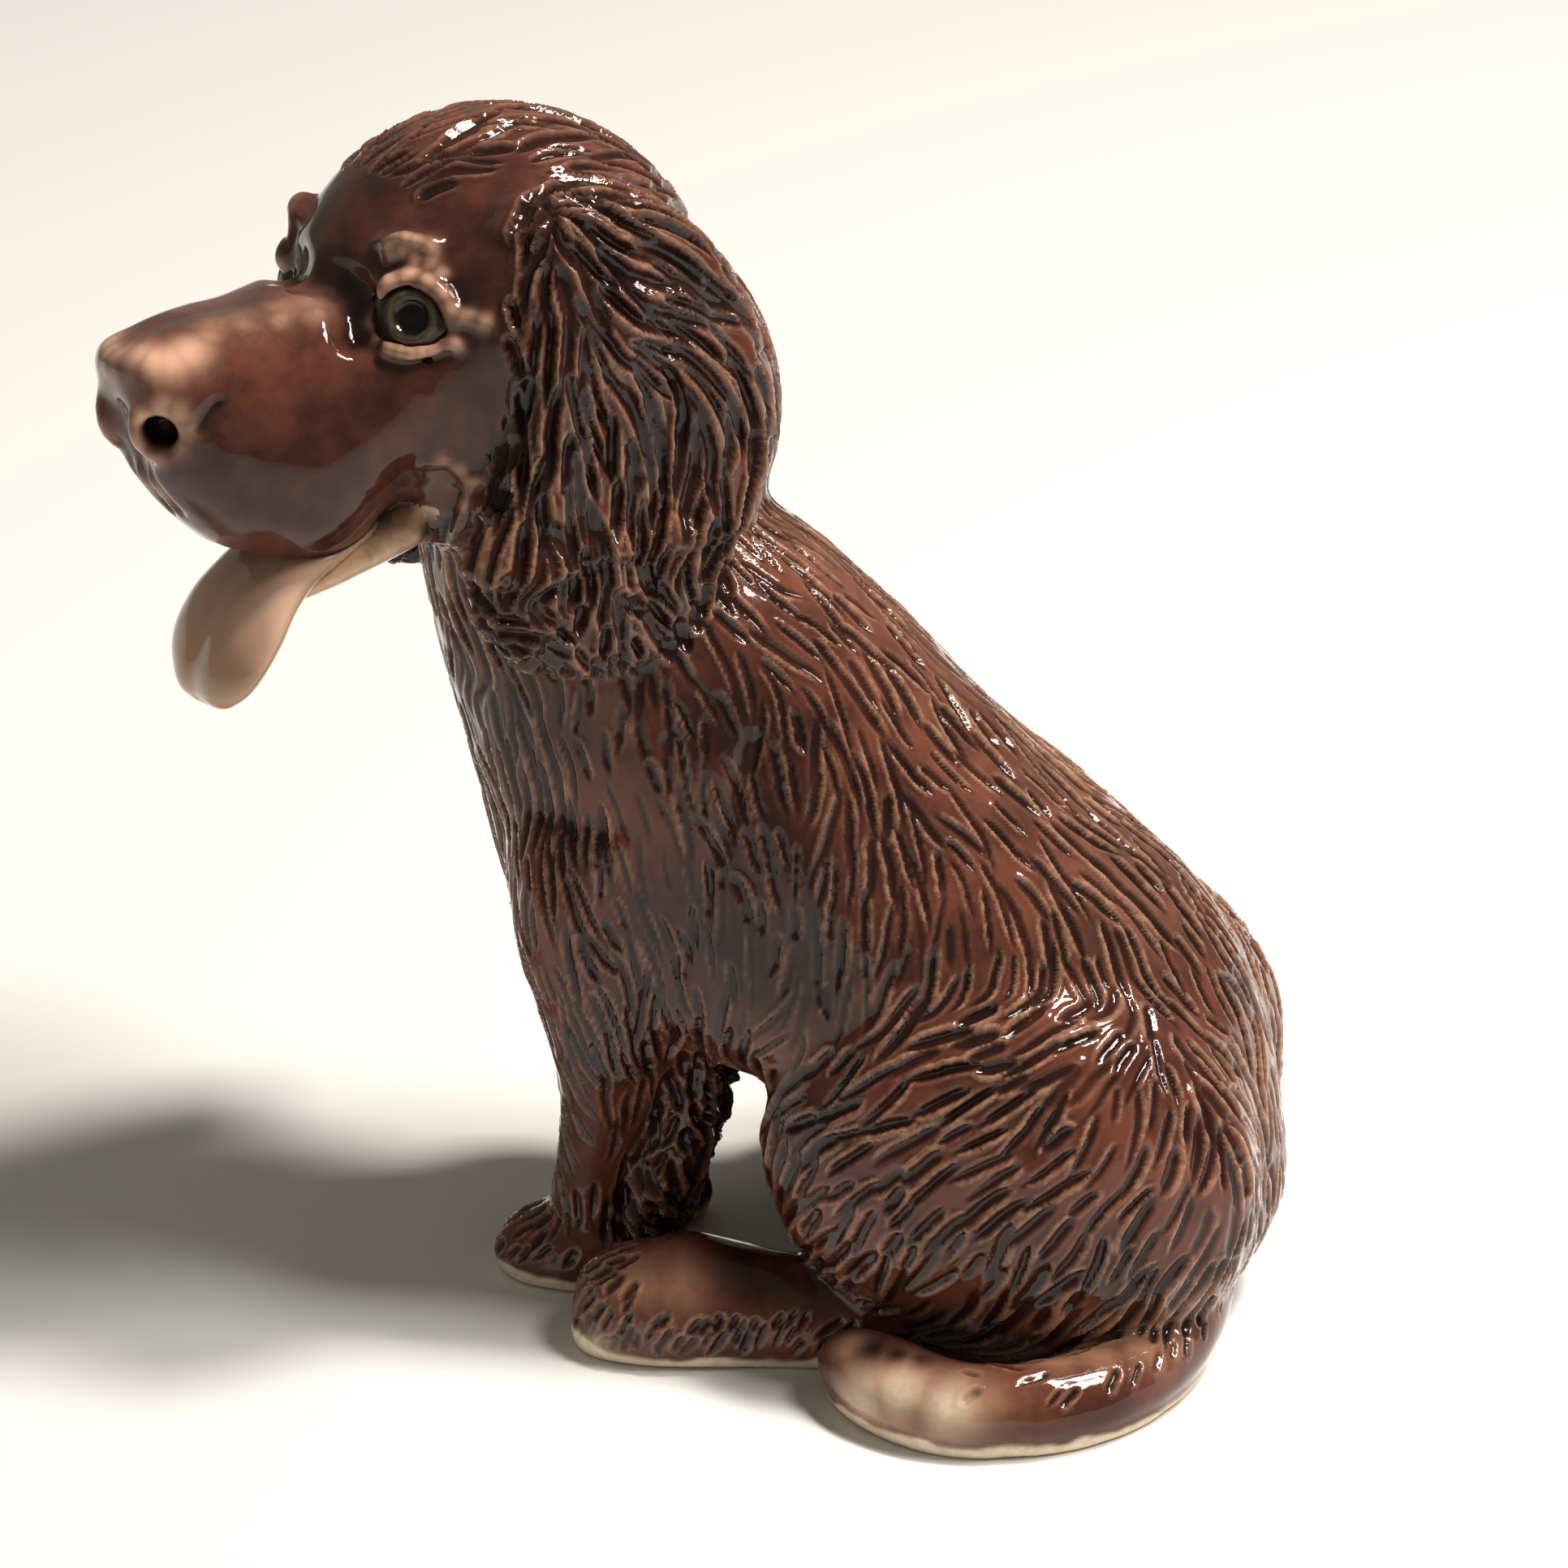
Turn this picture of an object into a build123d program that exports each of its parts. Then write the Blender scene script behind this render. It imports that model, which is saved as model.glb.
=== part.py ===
"""Seated spaniel figure, hand-built from separate pieces of clay luted together and glazed.

Millimetres. +Z is up, the dog faces -Y and its left side is +X. The origin is on the ground
under the middle of the seat. Every piece is trimmed to the faces of the pieces it is pressed onto.
"""

import os

from build123d import *

# Clay
WALL = 5.0
SLAB_THICKNESS = 5.0
VENT_DIAMETER = 3.0
VENT_SETBACK = 9.0

# Torso sections, each from a point on the back to a point on the front, as (y, z), with a width
SEAT_BACK, SEAT_FRONT, SEAT_WIDTH = (17.5, -6.0), (-16.0, -6.0), 42.0
RUMP_BACK, RUMP_FRONT, RUMP_WIDTH = (27.5, 21.0), (-23.0, 17.0), 52.0
LOIN_BACK, LOIN_FRONT, LOIN_WIDTH = (24.5, 36.5), (-37.0, 31.0), 53.0
RIBS_BACK, RIBS_FRONT, RIBS_WIDTH = (8.5, 59.5), (-61.0, 43.0), 50.0
CHEST_BACK, CHEST_FRONT, CHEST_WIDTH = (-7.5, 73.0), (-67.0, 58.0), 47.0
SHOULDER_BACK, SHOULDER_FRONT, SHOULDER_WIDTH = (-21.5, 87.0), (-70.0, 71.0), 43.0
NECK_BACK, NECK_FRONT, NECK_WIDTH = (-35.0, 97.5), (-73.0, 84.0), 38.0
COLLAR_BACK, COLLAR_FRONT, COLLAR_WIDTH = (-44.0, 110.0), (-76.0, 101.0), 35.0

# Head, turned and tipped on the neck
HEAD_AHEAD = 5.0
HEAD_RISE = 14.0
HEAD_YAW = 38.0
HEAD_ROLL = 10.0
HEAD_WIDTH = 48.0
HEAD_LENGTH = 49.0
HEAD_HEIGHT = 49.0
NAPE_SETBACK = 15.0
NAPE_DROP = 11.5
NAPE_WIDTH = 42.0
NAPE_LENGTH = 34.0
NAPE_HEIGHT = 43.0

# Muzzle sections as (distance ahead of the ball of the head, top, bottom, width)
MUZZLE_ROOT = (-12.5, 12.0, -15.0, 33.0)
MUZZLE_STOP = (-4.5, 9.5, -18.5, 31.0)
MUZZLE_FLEWS = (4.0, 8.6, -23.5, 28.0)
MUZZLE_LIP = (12.0, 7.4, -20.0, 25.0)
MUZZLE_FRONT = (18.0, 6.0, -14.0, 20.0)
MUZZLE_TIP = (21.0, 4.0, -9.5, 14.0)

# Mouth, hollowed under the muzzle between the hanging lips
MOUTH_WIDTH = 17.0
MOUTH_LENGTH = 36.0
MOUTH_HEIGHT = 15.0
MOUTH_AHEAD = 3.5
MOUTH_DROP = 24.0

# Nose pad
NOSE_WIDTH = 14.5
NOSE_LENGTH = 9.0
NOSE_HEIGHT = 11.0
NOSE_SUNK = 1.9
NOSE_RISE = 0.0
NOSTRIL_DIAMETER = 3.4
NOSTRIL_DEPTH = 3.0
NOSTRIL_SPACING = 7.5
NOSTRIL_DROP = 2.0

# Lower jaw sections as (distance ahead of the ball of the head, middle height, thickness, width)
JAW_HINGE = (-15.5, -17.5, 11.0, 26.0)
JAW_MIDDLE = (-4.5, -20.5, 6.5, 20.0)
JAW_CHIN = (2.5, -23.5, 5.0, 15.0)
JAW_TIP = (6.5, -25.0, 3.5, 10.0)

# Tongue stations as (distance ahead of the ball of the head, height, width, thickness), over the chin
TONGUE_STATIONS = (
    (-4.5, -19.0, 14.0, 6.5), (3.5, -21.0, 17.0, 6.5), (9.5, -25.0, 21.0, 6.5),
    (13.5, -30.0, 23.0, 6.0), (15.7, -34.0, 18.0, 5.0), (16.3, -36.5, 8.0, 2.5),
)

# Eyes, placed by direction from the middle of the head
EYE_DIAMETER = 12.0
EYE_BEARING = 40.0
EYE_RISE = 14.0
EYE_SUNK = 4.5
PUPIL_DIAMETER = 4.4
PUPIL_DEPTH = 1.6
LID_THICKNESS = 2.6
LID_OPENING = 7.5
LID_WIDTH = 10.5
BROW_BEARING = 38.0
BROW_RISE = 34.0
BROW_LENGTH = 10.0
BROW_DEPTH = 4.0
BROW_STAND = 5.0

# Ears, hanging plumb: outline points as (distance ahead, height) from the middle of the head
EAR_THICKNESS = 7.0
EAR_SEAT = 5.5
EAR_FLARE = 7.0
EAR_EDGE = 2.8
RIGHT_EAR_SETBACK = 5.0
EAR_OUTLINE = (
    (5.0, 14.5), (8.5, 4.0), (10.5, -8.0), (15.0, -20.0), (15.0, -30.5), (7.0, -36.5),
    (-5.0, -36.5), (-15.0, -27.5), (-21.0, -12.5), (-19.5, 2.0), (-9.0, 14.0),
)

# Locks of hair standing on the ears, long ones over a fringe, as (ahead, height) of both ends, with a width
EAR_LOCK_STAND = 1.3
EAR_LOCKS = (
    ((2.5, 11.0), (7.5, -18.0), 7.0), ((-4.5, 11.5), (-2.5, -18.0), 7.5), ((-10.5, 8.0), (-13.5, -17.0), 7.0),
    ((9.0, -19.5), (10.0, -31.5), 7.0), ((1.5, -19.5), (1.0, -34.0), 7.5), ((-7.0, -19.5), (-7.5, -31.5), 7.0),
)

# Forelegs: sections as (height, distance from the mid plane, position along the dog, width, depth)
FORELEG_SECTIONS = (
    (64.0, 12.0, -50.0, 20.0, 20.0), (46.0, 13.0, -51.5, 22.0, 19.0), (33.0, 11.5, -50.3, 18.0, 15.5),
    (20.0, 9.0, -52.5, 11.0, 10.5), (6.0, 8.0, -54.0, 10.5, 10.5),
)
RIGHT_LEG_SETBACK = 4.5
PAW_WIDTH = 13.0
PAW_LENGTH = 20.0
PAW_BALL_HEIGHT = 14.4
PAW_RISE = 1.8
PAW_AHEAD = 2.5

# Feathering behind the forelegs, with sections as on the legs
FEATHER_SECTIONS = (
    (36.0, 11.5, -43.5, 10.0, 10.0), (24.0, 9.5, -43.5, 9.0, 9.0),
    (11.0, 9.0, -46.0, 9.5, 8.5), (6.0, 9.0, -47.0, 6.0, 6.0),
)
RIGHT_FEATHER_TUCK = 4.0

# Haunches
HAUNCH_LENGTH = 58.0
HAUNCH_HEIGHT = 48.0
HAUNCH_DEPTH = 30.0
HAUNCH_OUT = 20.0
HAUNCH_AHEAD = 3.0
HAUNCH_RISE = 25.0
HAUNCH_TILT = 12.0

# Hind feet: sections as (position along the dog, width, height), widest at a share of the height
FOOT_OUT = 22.5
RIGHT_FOOT_SETBACK = 18.0
FOOT_WIDEST = 0.4
FOOT_SECTIONS = (
    (-14.0, 12.0, 10.0), (-32.0, 13.0, 11.0), (-45.5, 16.0, 12.5), (-51.5, 12.5, 10.5), (-54.0, 6.0, 6.5),
)

# Tail stations as (x, y, middle height, width, height), round the left haunch from the root to the tip
TAIL_STATIONS = (
    (4.0, 13.0, 7.0, 9.0, 10.0), (15.0, 18.0, 6.0, 10.0, 11.0), (27.0, 14.5, 4.6, 10.5, 10.5),
    (36.0, 6.0, 4.4, 10.5, 10.0), (39.5, -4.0, 4.4, 10.5, 10.0), (36.5, -14.0, 4.6, 11.5, 10.5),
    (32.0, -20.5, 4.8, 8.0, 8.0), (30.5, -22.5, 4.8, 4.0, 4.0),
)


def ellipsoid(plane, width, length, height):
    """Ball stretched to the given overall sizes along a plane's own axes."""
    ball = Sphere(1, mode=Mode.PRIVATE)
    return plane * scale(ball, by=(width / 2, length / 2, height / 2), mode=Mode.PRIVATE)


def spine_plane(back, front):
    """Plane of one torso section, in the middle between its back and front points."""
    run, rise = back[0] - front[0], back[1] - front[1]
    middle = (0, (back[0] + front[0]) / 2, (back[1] + front[1]) / 2)
    return Plane(origin=middle, x_dir=(1, 0, 0), z_dir=(0, -rise, run))


def spine_depth(back, front):
    """Distance from the back point to the front point of one torso section."""
    return ((back[0] - front[0]) ** 2 + (back[1] - front[1]) ** 2) ** 0.5


def finish(piece, name):
    """Name a finished piece and write it out."""
    piece.part.label = name
    export_step(piece.part, f"parts/{name}.step")


os.makedirs("parts", exist_ok=True)
sides = {"left": 1, "right": -1}

# Torso, a hollow pinched form open under the seat and at the collar
torso_sections = (
    (SEAT_BACK, SEAT_FRONT, SEAT_WIDTH),
    (RUMP_BACK, RUMP_FRONT, RUMP_WIDTH),
    (LOIN_BACK, LOIN_FRONT, LOIN_WIDTH),
    (RIBS_BACK, RIBS_FRONT, RIBS_WIDTH),
    (CHEST_BACK, CHEST_FRONT, CHEST_WIDTH),
    (SHOULDER_BACK, SHOULDER_FRONT, SHOULDER_WIDTH),
    (NECK_BACK, NECK_FRONT, NECK_WIDTH),
    (COLLAR_BACK, COLLAR_FRONT, COLLAR_WIDTH),
)

with BuildPart() as torso_form:
    for back, front, width in torso_sections:
        with BuildSketch(spine_plane(back, front)):
            Ellipse(width / 2, spine_depth(back, front) / 2)
    loft()
    split(bisect_by=Plane.XY, keep=Keep.TOP)

with BuildPart() as torso_hollow:
    for back, front, width in torso_sections:
        with BuildSketch(spine_plane(back, front)):
            Ellipse(width / 2 - WALL, spine_depth(back, front) / 2 - WALL)
    loft()
    split(bisect_by=Plane.XY, keep=Keep.TOP)

with BuildPart() as torso:
    add(torso_form.part)
    add(torso_hollow.part, mode=Mode.SUBTRACT)
finish(torso, "torso")

# Seat slab, closing the torso underneath, with a vent for the kiln
with BuildPart() as seat_slab:
    add(torso_hollow.part)
    split(bisect_by=Plane.XY.offset(SLAB_THICKNESS), keep=Keep.BOTTOM)
    with BuildSketch(Plane((0, -VENT_SETBACK, 0))):
        Circle(VENT_DIAMETER / 2)
    extrude(amount=SLAB_THICKNESS, mode=Mode.SUBTRACT)
finish(seat_slab, "seat_slab")

# Directions of the turned and tipped head
collar_middle = spine_plane(COLLAR_BACK, COLLAR_FRONT).origin
head_middle = collar_middle + Vector(0, -HEAD_AHEAD, HEAD_RISE)
plumb_plane = Plane(origin=head_middle, x_dir=Vector(1, 0, 0).rotate(Axis.Z, HEAD_YAW), z_dir=(0, 0, 1))
level_axis = Axis((0, 0, 0), plumb_plane.y_dir)
head_plane = Plane(
    origin=head_middle,
    x_dir=plumb_plane.x_dir.rotate(level_axis, -HEAD_ROLL),
    z_dir=plumb_plane.z_dir.rotate(level_axis, -HEAD_ROLL),
)


def head_point(left, ahead, rise):
    """Point given in the head's own directions from its middle."""
    return head_plane.from_local_coords(Vector(left, -ahead, rise))


def snout_point(ahead, rise):
    """Point on the head's mid plane, given from the front of the ball of the head."""
    return head_point(0, HEAD_LENGTH / 2 + ahead, rise)


def level_plane(point):
    """Plane through a point of the head, along the head's own directions."""
    return Plane(origin=point, x_dir=head_plane.x_dir, z_dir=head_plane.z_dir)


def across_snout(ahead, rise):
    """Plane across the snout, facing forward."""
    return Plane(origin=snout_point(ahead, rise), x_dir=head_plane.x_dir, z_dir=-head_plane.y_dir)


def face_plane(bearing, rise, sunk):
    """Plane on the face in a given direction, facing out, sunk below the surface of the head."""
    out = Vector(0, -1, 0).rotate(Axis.X, -rise).rotate(Axis.Z, bearing)
    across = Vector(1, 0, 0).rotate(Axis.Z, bearing)
    stretch = Vector(2 * out.X / HEAD_WIDTH, 2 * out.Y / HEAD_LENGTH, 2 * out.Z / HEAD_HEIGHT)
    return Plane(
        origin=head_plane.from_local_coords(out * (1 / stretch.length - sunk)),
        x_dir=head_plane.from_local_coords(across) - head_middle,
        z_dir=head_plane.from_local_coords(out) - head_middle,
    )


# Eyeballs, each with a pressed pupil
eye_planes = {name: face_plane(side * EYE_BEARING, EYE_RISE, EYE_SUNK) for name, side in sides.items()}
eye_forms = {name: plane * Sphere(EYE_DIAMETER / 2) for name, plane in eye_planes.items()}
for name, plane in eye_planes.items():
    with BuildPart() as eyeball:
        add(eye_forms[name])
        with BuildSketch(plane.offset(EYE_DIAMETER / 2)):
            Circle(PUPIL_DIAMETER / 2)
        extrude(amount=-PUPIL_DEPTH, mode=Mode.SUBTRACT)
    finish(eyeball, f"{name}_eyeball")

# Head, a hollow ball with the nape behind it, set over the collar and socketed for the eyes
nape_plane = level_plane(head_point(0, -NAPE_SETBACK, -NAPE_DROP))
with BuildPart() as head_form:
    add(ellipsoid(head_plane, HEAD_WIDTH, HEAD_LENGTH, HEAD_HEIGHT))
    add(ellipsoid(nape_plane, NAPE_WIDTH, NAPE_LENGTH, NAPE_HEIGHT))

head_hollow = ellipsoid(head_plane, HEAD_WIDTH - 2 * WALL, HEAD_LENGTH - 2 * WALL, HEAD_HEIGHT - 2 * WALL)
with BuildPart() as head:
    add(head_form.part)
    add(head_hollow, mode=Mode.SUBTRACT)
    add(torso_form.part, mode=Mode.SUBTRACT)
    add(list(eye_forms.values()), mode=Mode.SUBTRACT)
finish(head, "head")

# Muzzle, with the upper lips
muzzle_sections = (MUZZLE_ROOT, MUZZLE_STOP, MUZZLE_FLEWS, MUZZLE_LIP, MUZZLE_FRONT, MUZZLE_TIP)
mouth_plane = level_plane(snout_point(MOUTH_AHEAD, -MOUTH_DROP))
with BuildPart() as muzzle:
    for ahead, top, bottom, width in muzzle_sections:
        with BuildSketch(across_snout(ahead, (top + bottom) / 2)):
            Ellipse(width / 2, (top - bottom) / 2)
    loft()
    add(ellipsoid(mouth_plane, MOUTH_WIDTH, MOUTH_LENGTH, MOUTH_HEIGHT), mode=Mode.SUBTRACT)
    add(head_form.part, mode=Mode.SUBTRACT)
    add(list(eye_forms.values()), mode=Mode.SUBTRACT)
finish(muzzle, "muzzle")

# Nose pad with two nostrils
nose_ahead = MUZZLE_TIP[0] - NOSE_SUNK
nose_plane = level_plane(snout_point(nose_ahead, NOSE_RISE))
with BuildPart() as nose:
    add(ellipsoid(nose_plane, NOSE_WIDTH, NOSE_LENGTH, NOSE_HEIGHT))
    add(muzzle.part, mode=Mode.SUBTRACT)
    for side in sides.values():
        with BuildSketch(across_snout(nose_ahead + NOSE_LENGTH / 2, NOSE_RISE - NOSTRIL_DROP)):
            with Locations((side * NOSTRIL_SPACING / 2, 0)):
                Circle(NOSTRIL_DIAMETER / 2)
        extrude(amount=-NOSTRIL_DEPTH, mode=Mode.SUBTRACT)
finish(nose, "nose")

# Lower jaw, dropped open under the muzzle
with BuildPart() as lower_jaw:
    for ahead, rise, thickness, width in (JAW_HINGE, JAW_MIDDLE, JAW_CHIN, JAW_TIP):
        with BuildSketch(across_snout(ahead, rise)):
            Ellipse(width / 2, thickness / 2)
    loft()
    add(head_form.part, mode=Mode.SUBTRACT)
    add(muzzle.part, mode=Mode.SUBTRACT)
    add(torso_form.part, mode=Mode.SUBTRACT)
finish(lower_jaw, "lower_jaw")

# Tongue, lying on the jaw and hanging over the chin
with BuildPart() as tongue:
    for index, (ahead, rise, width, thickness) in enumerate(TONGUE_STATIONS):
        before = TONGUE_STATIONS[max(index - 1, 0)]
        after = TONGUE_STATIONS[min(index + 1, len(TONGUE_STATIONS) - 1)]
        along = snout_point(after[0], after[1]) - snout_point(before[0], before[1])
        with BuildSketch(Plane(origin=snout_point(ahead, rise), x_dir=head_plane.x_dir, z_dir=along)):
            Ellipse(width / 2, thickness / 2)
    loft()
    add(muzzle.part, mode=Mode.SUBTRACT)
    add(lower_jaw.part, mode=Mode.SUBTRACT)
finish(tongue, "tongue")

# Eyelids, a roll of clay above and below each eye
lid_reach = (EYE_DIAMETER**2 - LID_WIDTH**2) ** 0.5 / 2
lid_crown = (EYE_DIAMETER**2 - LID_OPENING**2) ** 0.5 / 2
lids = {"left": [], "right": []}
for name, plane in eye_planes.items():
    inner = plane.from_local_coords(Vector(-LID_WIDTH / 2, 0, lid_reach))
    outer = plane.from_local_coords(Vector(LID_WIDTH / 2, 0, lid_reach))
    for place, upward in (("upper", 1), ("lower", -1)):
        crown = plane.from_local_coords(Vector(0, upward * LID_OPENING / 2, lid_crown))
        with BuildPart() as lid:
            with BuildLine() as rim:
                ThreePointArc(inner, crown, outer)
            with BuildSketch(Plane(origin=rim.line @ 0, z_dir=rim.line % 0)):
                Circle(LID_THICKNESS / 2)
            sweep()
            add([eye_forms[name], head_form.part, muzzle.part] + lids[name], mode=Mode.SUBTRACT)
        lids[name].append(lid.part)
        finish(lid, f"{name}_{place}_lid")

# Brows, a short roll of clay over each eye
for name, side in sides.items():
    with BuildPart() as brow:
        add(ellipsoid(face_plane(side * BROW_BEARING, BROW_RISE, 0), BROW_LENGTH, BROW_DEPTH, BROW_STAND))
        add([head_form.part] + lids[name], mode=Mode.SUBTRACT)
    finish(brow, f"{name}_brow")

# Ears, flat flaps hanging plumb from the sides of the head, with locks of hair on the outer face
for name, side in sides.items():
    outward = plumb_plane.x_dir * side
    setback = 0 if name == "left" else RIGHT_EAR_SETBACK
    ear_plane = Plane(
        origin=head_point(side * (HEAD_WIDTH / 2 - EAR_SEAT), -setback, 0),
        x_dir=plumb_plane.y_dir * side,
        z_dir=outward.rotate(level_axis, -side * EAR_FLARE),
    )
    with BuildPart() as ear:
        with BuildSketch(ear_plane):
            with BuildLine():
                Spline([(-side * ahead, rise) for ahead, rise in EAR_OUTLINE], periodic=True)
            make_face()
        extrude(amount=EAR_THICKNESS)
        fillet(ear.edges(), EAR_EDGE)
        for top, bottom, width in EAR_LOCKS:
            root = ear_plane.from_local_coords(Vector(-side * top[0], top[1], EAR_THICKNESS))
            tip = ear_plane.from_local_coords(Vector(-side * bottom[0], bottom[1], EAR_THICKNESS))
            hang = root - tip
            lock_plane = Plane(origin=(root + tip) / 2, x_dir=hang.cross(ear_plane.z_dir), z_dir=ear_plane.z_dir)
            add(ellipsoid(lock_plane, width, hang.length, 2 * EAR_LOCK_STAND))
        add(head_form.part, mode=Mode.SUBTRACT)
        add(torso_form.part, mode=Mode.SUBTRACT)
    finish(ear, f"{name}_ear")

# Forelegs, each with a paw and a fringe of feathering behind
for name, side in sides.items():
    setback = 0 if name == "left" else RIGHT_LEG_SETBACK
    tuck = 0 if name == "left" else RIGHT_FEATHER_TUCK
    with BuildPart() as foreleg:
        for height, out, along, width, depth in FORELEG_SECTIONS:
            with BuildSketch(Plane((side * out, along + setback, height))):
                Ellipse(width / 2, depth / 2)
        loft()
        add(torso_form.part, mode=Mode.SUBTRACT)
    finish(foreleg, f"{name}_foreleg")
    ankle = FORELEG_SECTIONS[-1]
    paw_plane = Plane((side * ankle[1], ankle[2] + setback - PAW_AHEAD, PAW_RISE))
    with BuildPart() as paw:
        add(ellipsoid(paw_plane, PAW_WIDTH, PAW_LENGTH, PAW_BALL_HEIGHT))
        split(bisect_by=Plane.XY, keep=Keep.TOP)
        add(foreleg.part, mode=Mode.SUBTRACT)
    finish(paw, f"{name}_forepaw")
    with BuildPart() as feathering:
        for height, out, along, width, depth in FEATHER_SECTIONS:
            with BuildSketch(Plane((side * out, along + setback - tuck, height))):
                Ellipse(width / 2, depth / 2)
        loft()
        add([torso_form.part, foreleg.part, paw.part], mode=Mode.SUBTRACT)
    finish(feathering, f"{name}_feathering")

# Haunches and hind feet, the right foot drawn further back than the left
hind_legs = {}
for name, side in sides.items():
    thigh_plane = Plane((side * HAUNCH_OUT, -HAUNCH_AHEAD, HAUNCH_RISE)).rotated((-HAUNCH_TILT, 0, 0))
    with BuildPart() as haunch:
        add(ellipsoid(thigh_plane, HAUNCH_DEPTH, HAUNCH_LENGTH, HAUNCH_HEIGHT))
        split(bisect_by=Plane.XY, keep=Keep.TOP)
        add(torso_form.part, mode=Mode.SUBTRACT)
    finish(haunch, f"{name}_haunch")
    setback = 0 if name == "left" else RIGHT_FOOT_SETBACK
    with BuildPart() as foot:
        for along, width, height in FOOT_SECTIONS:
            middle = (side * FOOT_OUT, along + setback, height * FOOT_WIDEST)
            with BuildSketch(Plane(middle, x_dir=(1, 0, 0), z_dir=(0, -1, 0))):
                Ellipse(width / 2, height * (1 - FOOT_WIDEST))
        loft()
        split(bisect_by=Plane.XY, keep=Keep.TOP)
        add([torso_form.part, haunch.part], mode=Mode.SUBTRACT)
    hind_legs[name] = [haunch.part, foot.part]
    finish(foot, f"{name}_hind_foot")

# Tail, wrapped forward round the left haunch on the ground
with BuildPart() as tail:
    for index, (x, y, rise, width, height) in enumerate(TAIL_STATIONS):
        before = TAIL_STATIONS[max(index - 1, 0)]
        after = TAIL_STATIONS[min(index + 1, len(TAIL_STATIONS) - 1)]
        along = Vector(after[0] - before[0], after[1] - before[1], 0)
        with BuildSketch(Plane(origin=(x, y, rise), x_dir=along.rotate(Axis.Z, -90), z_dir=along)):
            Ellipse(width / 2, height / 2)
    loft()
    split(bisect_by=Plane.XY, keep=Keep.TOP)
    add([torso_form.part] + hind_legs["left"], mode=Mode.SUBTRACT)
finish(tail, "tail")
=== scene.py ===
"""Looks of the seated spaniel figure: modelled clay, tooled fur and a brown glaze that breaks on the ridges.

The clay skin is made from the CAD pieces, run together as wet clay is, and then tooled. Lengths in the
modelling part are in millimetres, along the CAD axes: the dog faces -Y and its left side is +X.
"""

import math

import bpy
import numpy as np
import openvdb
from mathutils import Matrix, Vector
from mathutils.kdtree import KDTree


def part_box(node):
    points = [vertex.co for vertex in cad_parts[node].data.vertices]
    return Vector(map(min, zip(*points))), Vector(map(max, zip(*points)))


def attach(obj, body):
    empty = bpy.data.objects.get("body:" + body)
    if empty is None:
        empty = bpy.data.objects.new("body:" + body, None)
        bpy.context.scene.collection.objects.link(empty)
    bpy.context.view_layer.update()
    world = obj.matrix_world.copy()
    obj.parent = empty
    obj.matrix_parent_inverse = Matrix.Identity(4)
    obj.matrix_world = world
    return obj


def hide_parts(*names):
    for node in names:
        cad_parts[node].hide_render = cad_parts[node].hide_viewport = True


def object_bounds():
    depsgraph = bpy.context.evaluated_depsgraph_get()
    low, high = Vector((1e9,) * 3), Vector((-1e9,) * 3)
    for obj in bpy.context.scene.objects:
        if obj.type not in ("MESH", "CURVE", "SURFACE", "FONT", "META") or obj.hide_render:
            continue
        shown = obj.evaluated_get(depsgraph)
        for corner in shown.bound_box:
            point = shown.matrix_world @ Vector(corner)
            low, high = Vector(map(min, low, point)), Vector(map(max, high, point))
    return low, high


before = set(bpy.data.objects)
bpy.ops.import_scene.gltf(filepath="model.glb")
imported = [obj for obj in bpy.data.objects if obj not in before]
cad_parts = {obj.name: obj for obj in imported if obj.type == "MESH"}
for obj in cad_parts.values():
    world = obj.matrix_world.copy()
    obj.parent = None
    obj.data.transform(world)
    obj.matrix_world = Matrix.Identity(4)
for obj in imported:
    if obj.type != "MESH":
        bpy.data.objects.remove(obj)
cad_low, cad_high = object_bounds()
rng = np.random.default_rng(7)

MM = 0.001
VOXEL = 0.38
BAND = 12
WIDE_BAND = 26

# View of the figure, at the photograph's angle, in a square frame
AZIMUTH, ELEVATION = math.radians(98), math.radians(26)
TARGET = np.array((-3.5, -32.7, 61.3))
DISTANCE = 700.0
LENS, SENSOR, FRAME_SIDE = 136.7, 36.0, 1932
view_back = np.array(
    (math.sin(AZIMUTH) * math.cos(ELEVATION), -math.cos(AZIMUTH) * math.cos(ELEVATION), math.sin(ELEVATION))
)
view_right = np.array((math.cos(AZIMUTH), math.sin(AZIMUTH), 0.0))
view_up = np.cross(view_back, view_right)
view_point = TARGET + DISTANCE * view_back

# Clay that runs together: radius in mm of the clay smoothed into the join, and how much the piece is thinned
CLAY_JOINS = (
    ("torso", 0.0, 0.0), ("head", 3.5, 0.0), ("muzzle", 4.0, 0.0), ("nose", 1.4, 0.0),
    ("lower_jaw", 1.0, 0.0), ("haunch", 2.5, 0.0), ("foreleg", 3.5, 0.0), ("forepaw", 2.5, 0.0),
    ("feathering", 2.0, 0.0), ("hind_foot", 2.5, 0.0), ("tail", 1.0, 0.0), ("brow", 2.0, 0.9),
    ("ear", 1.0, 0.0), ("upper_lid", 0.8, 0.35), ("lower_lid", 0.8, 0.55),
)
# The most that the joins widen by in mm, and where: heights over the middle of the head, and places along y
EAR_JOIN, EAR_JOIN_HEIGHTS = 8, (-6, 9)
HAUNCH_JOIN, HAUNCH_JOIN_PLACES = 6, (0, 22)


def nodes_of(*pieces):
    """Names of the nodes of pieces, left and right where the dog has two."""
    names = []
    for piece in pieces:
        names += [piece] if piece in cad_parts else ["left_" + piece, "right_" + piece]
    return names


CLAY_PIECES = [(name, radius, thinned) for piece, radius, thinned in CLAY_JOINS for name in nodes_of(piece)]
PIECE_NAMES = [name for name, _, _ in CLAY_PIECES]
WIDE_PIECES = nodes_of("torso", "head", "ear", "haunch")

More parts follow.
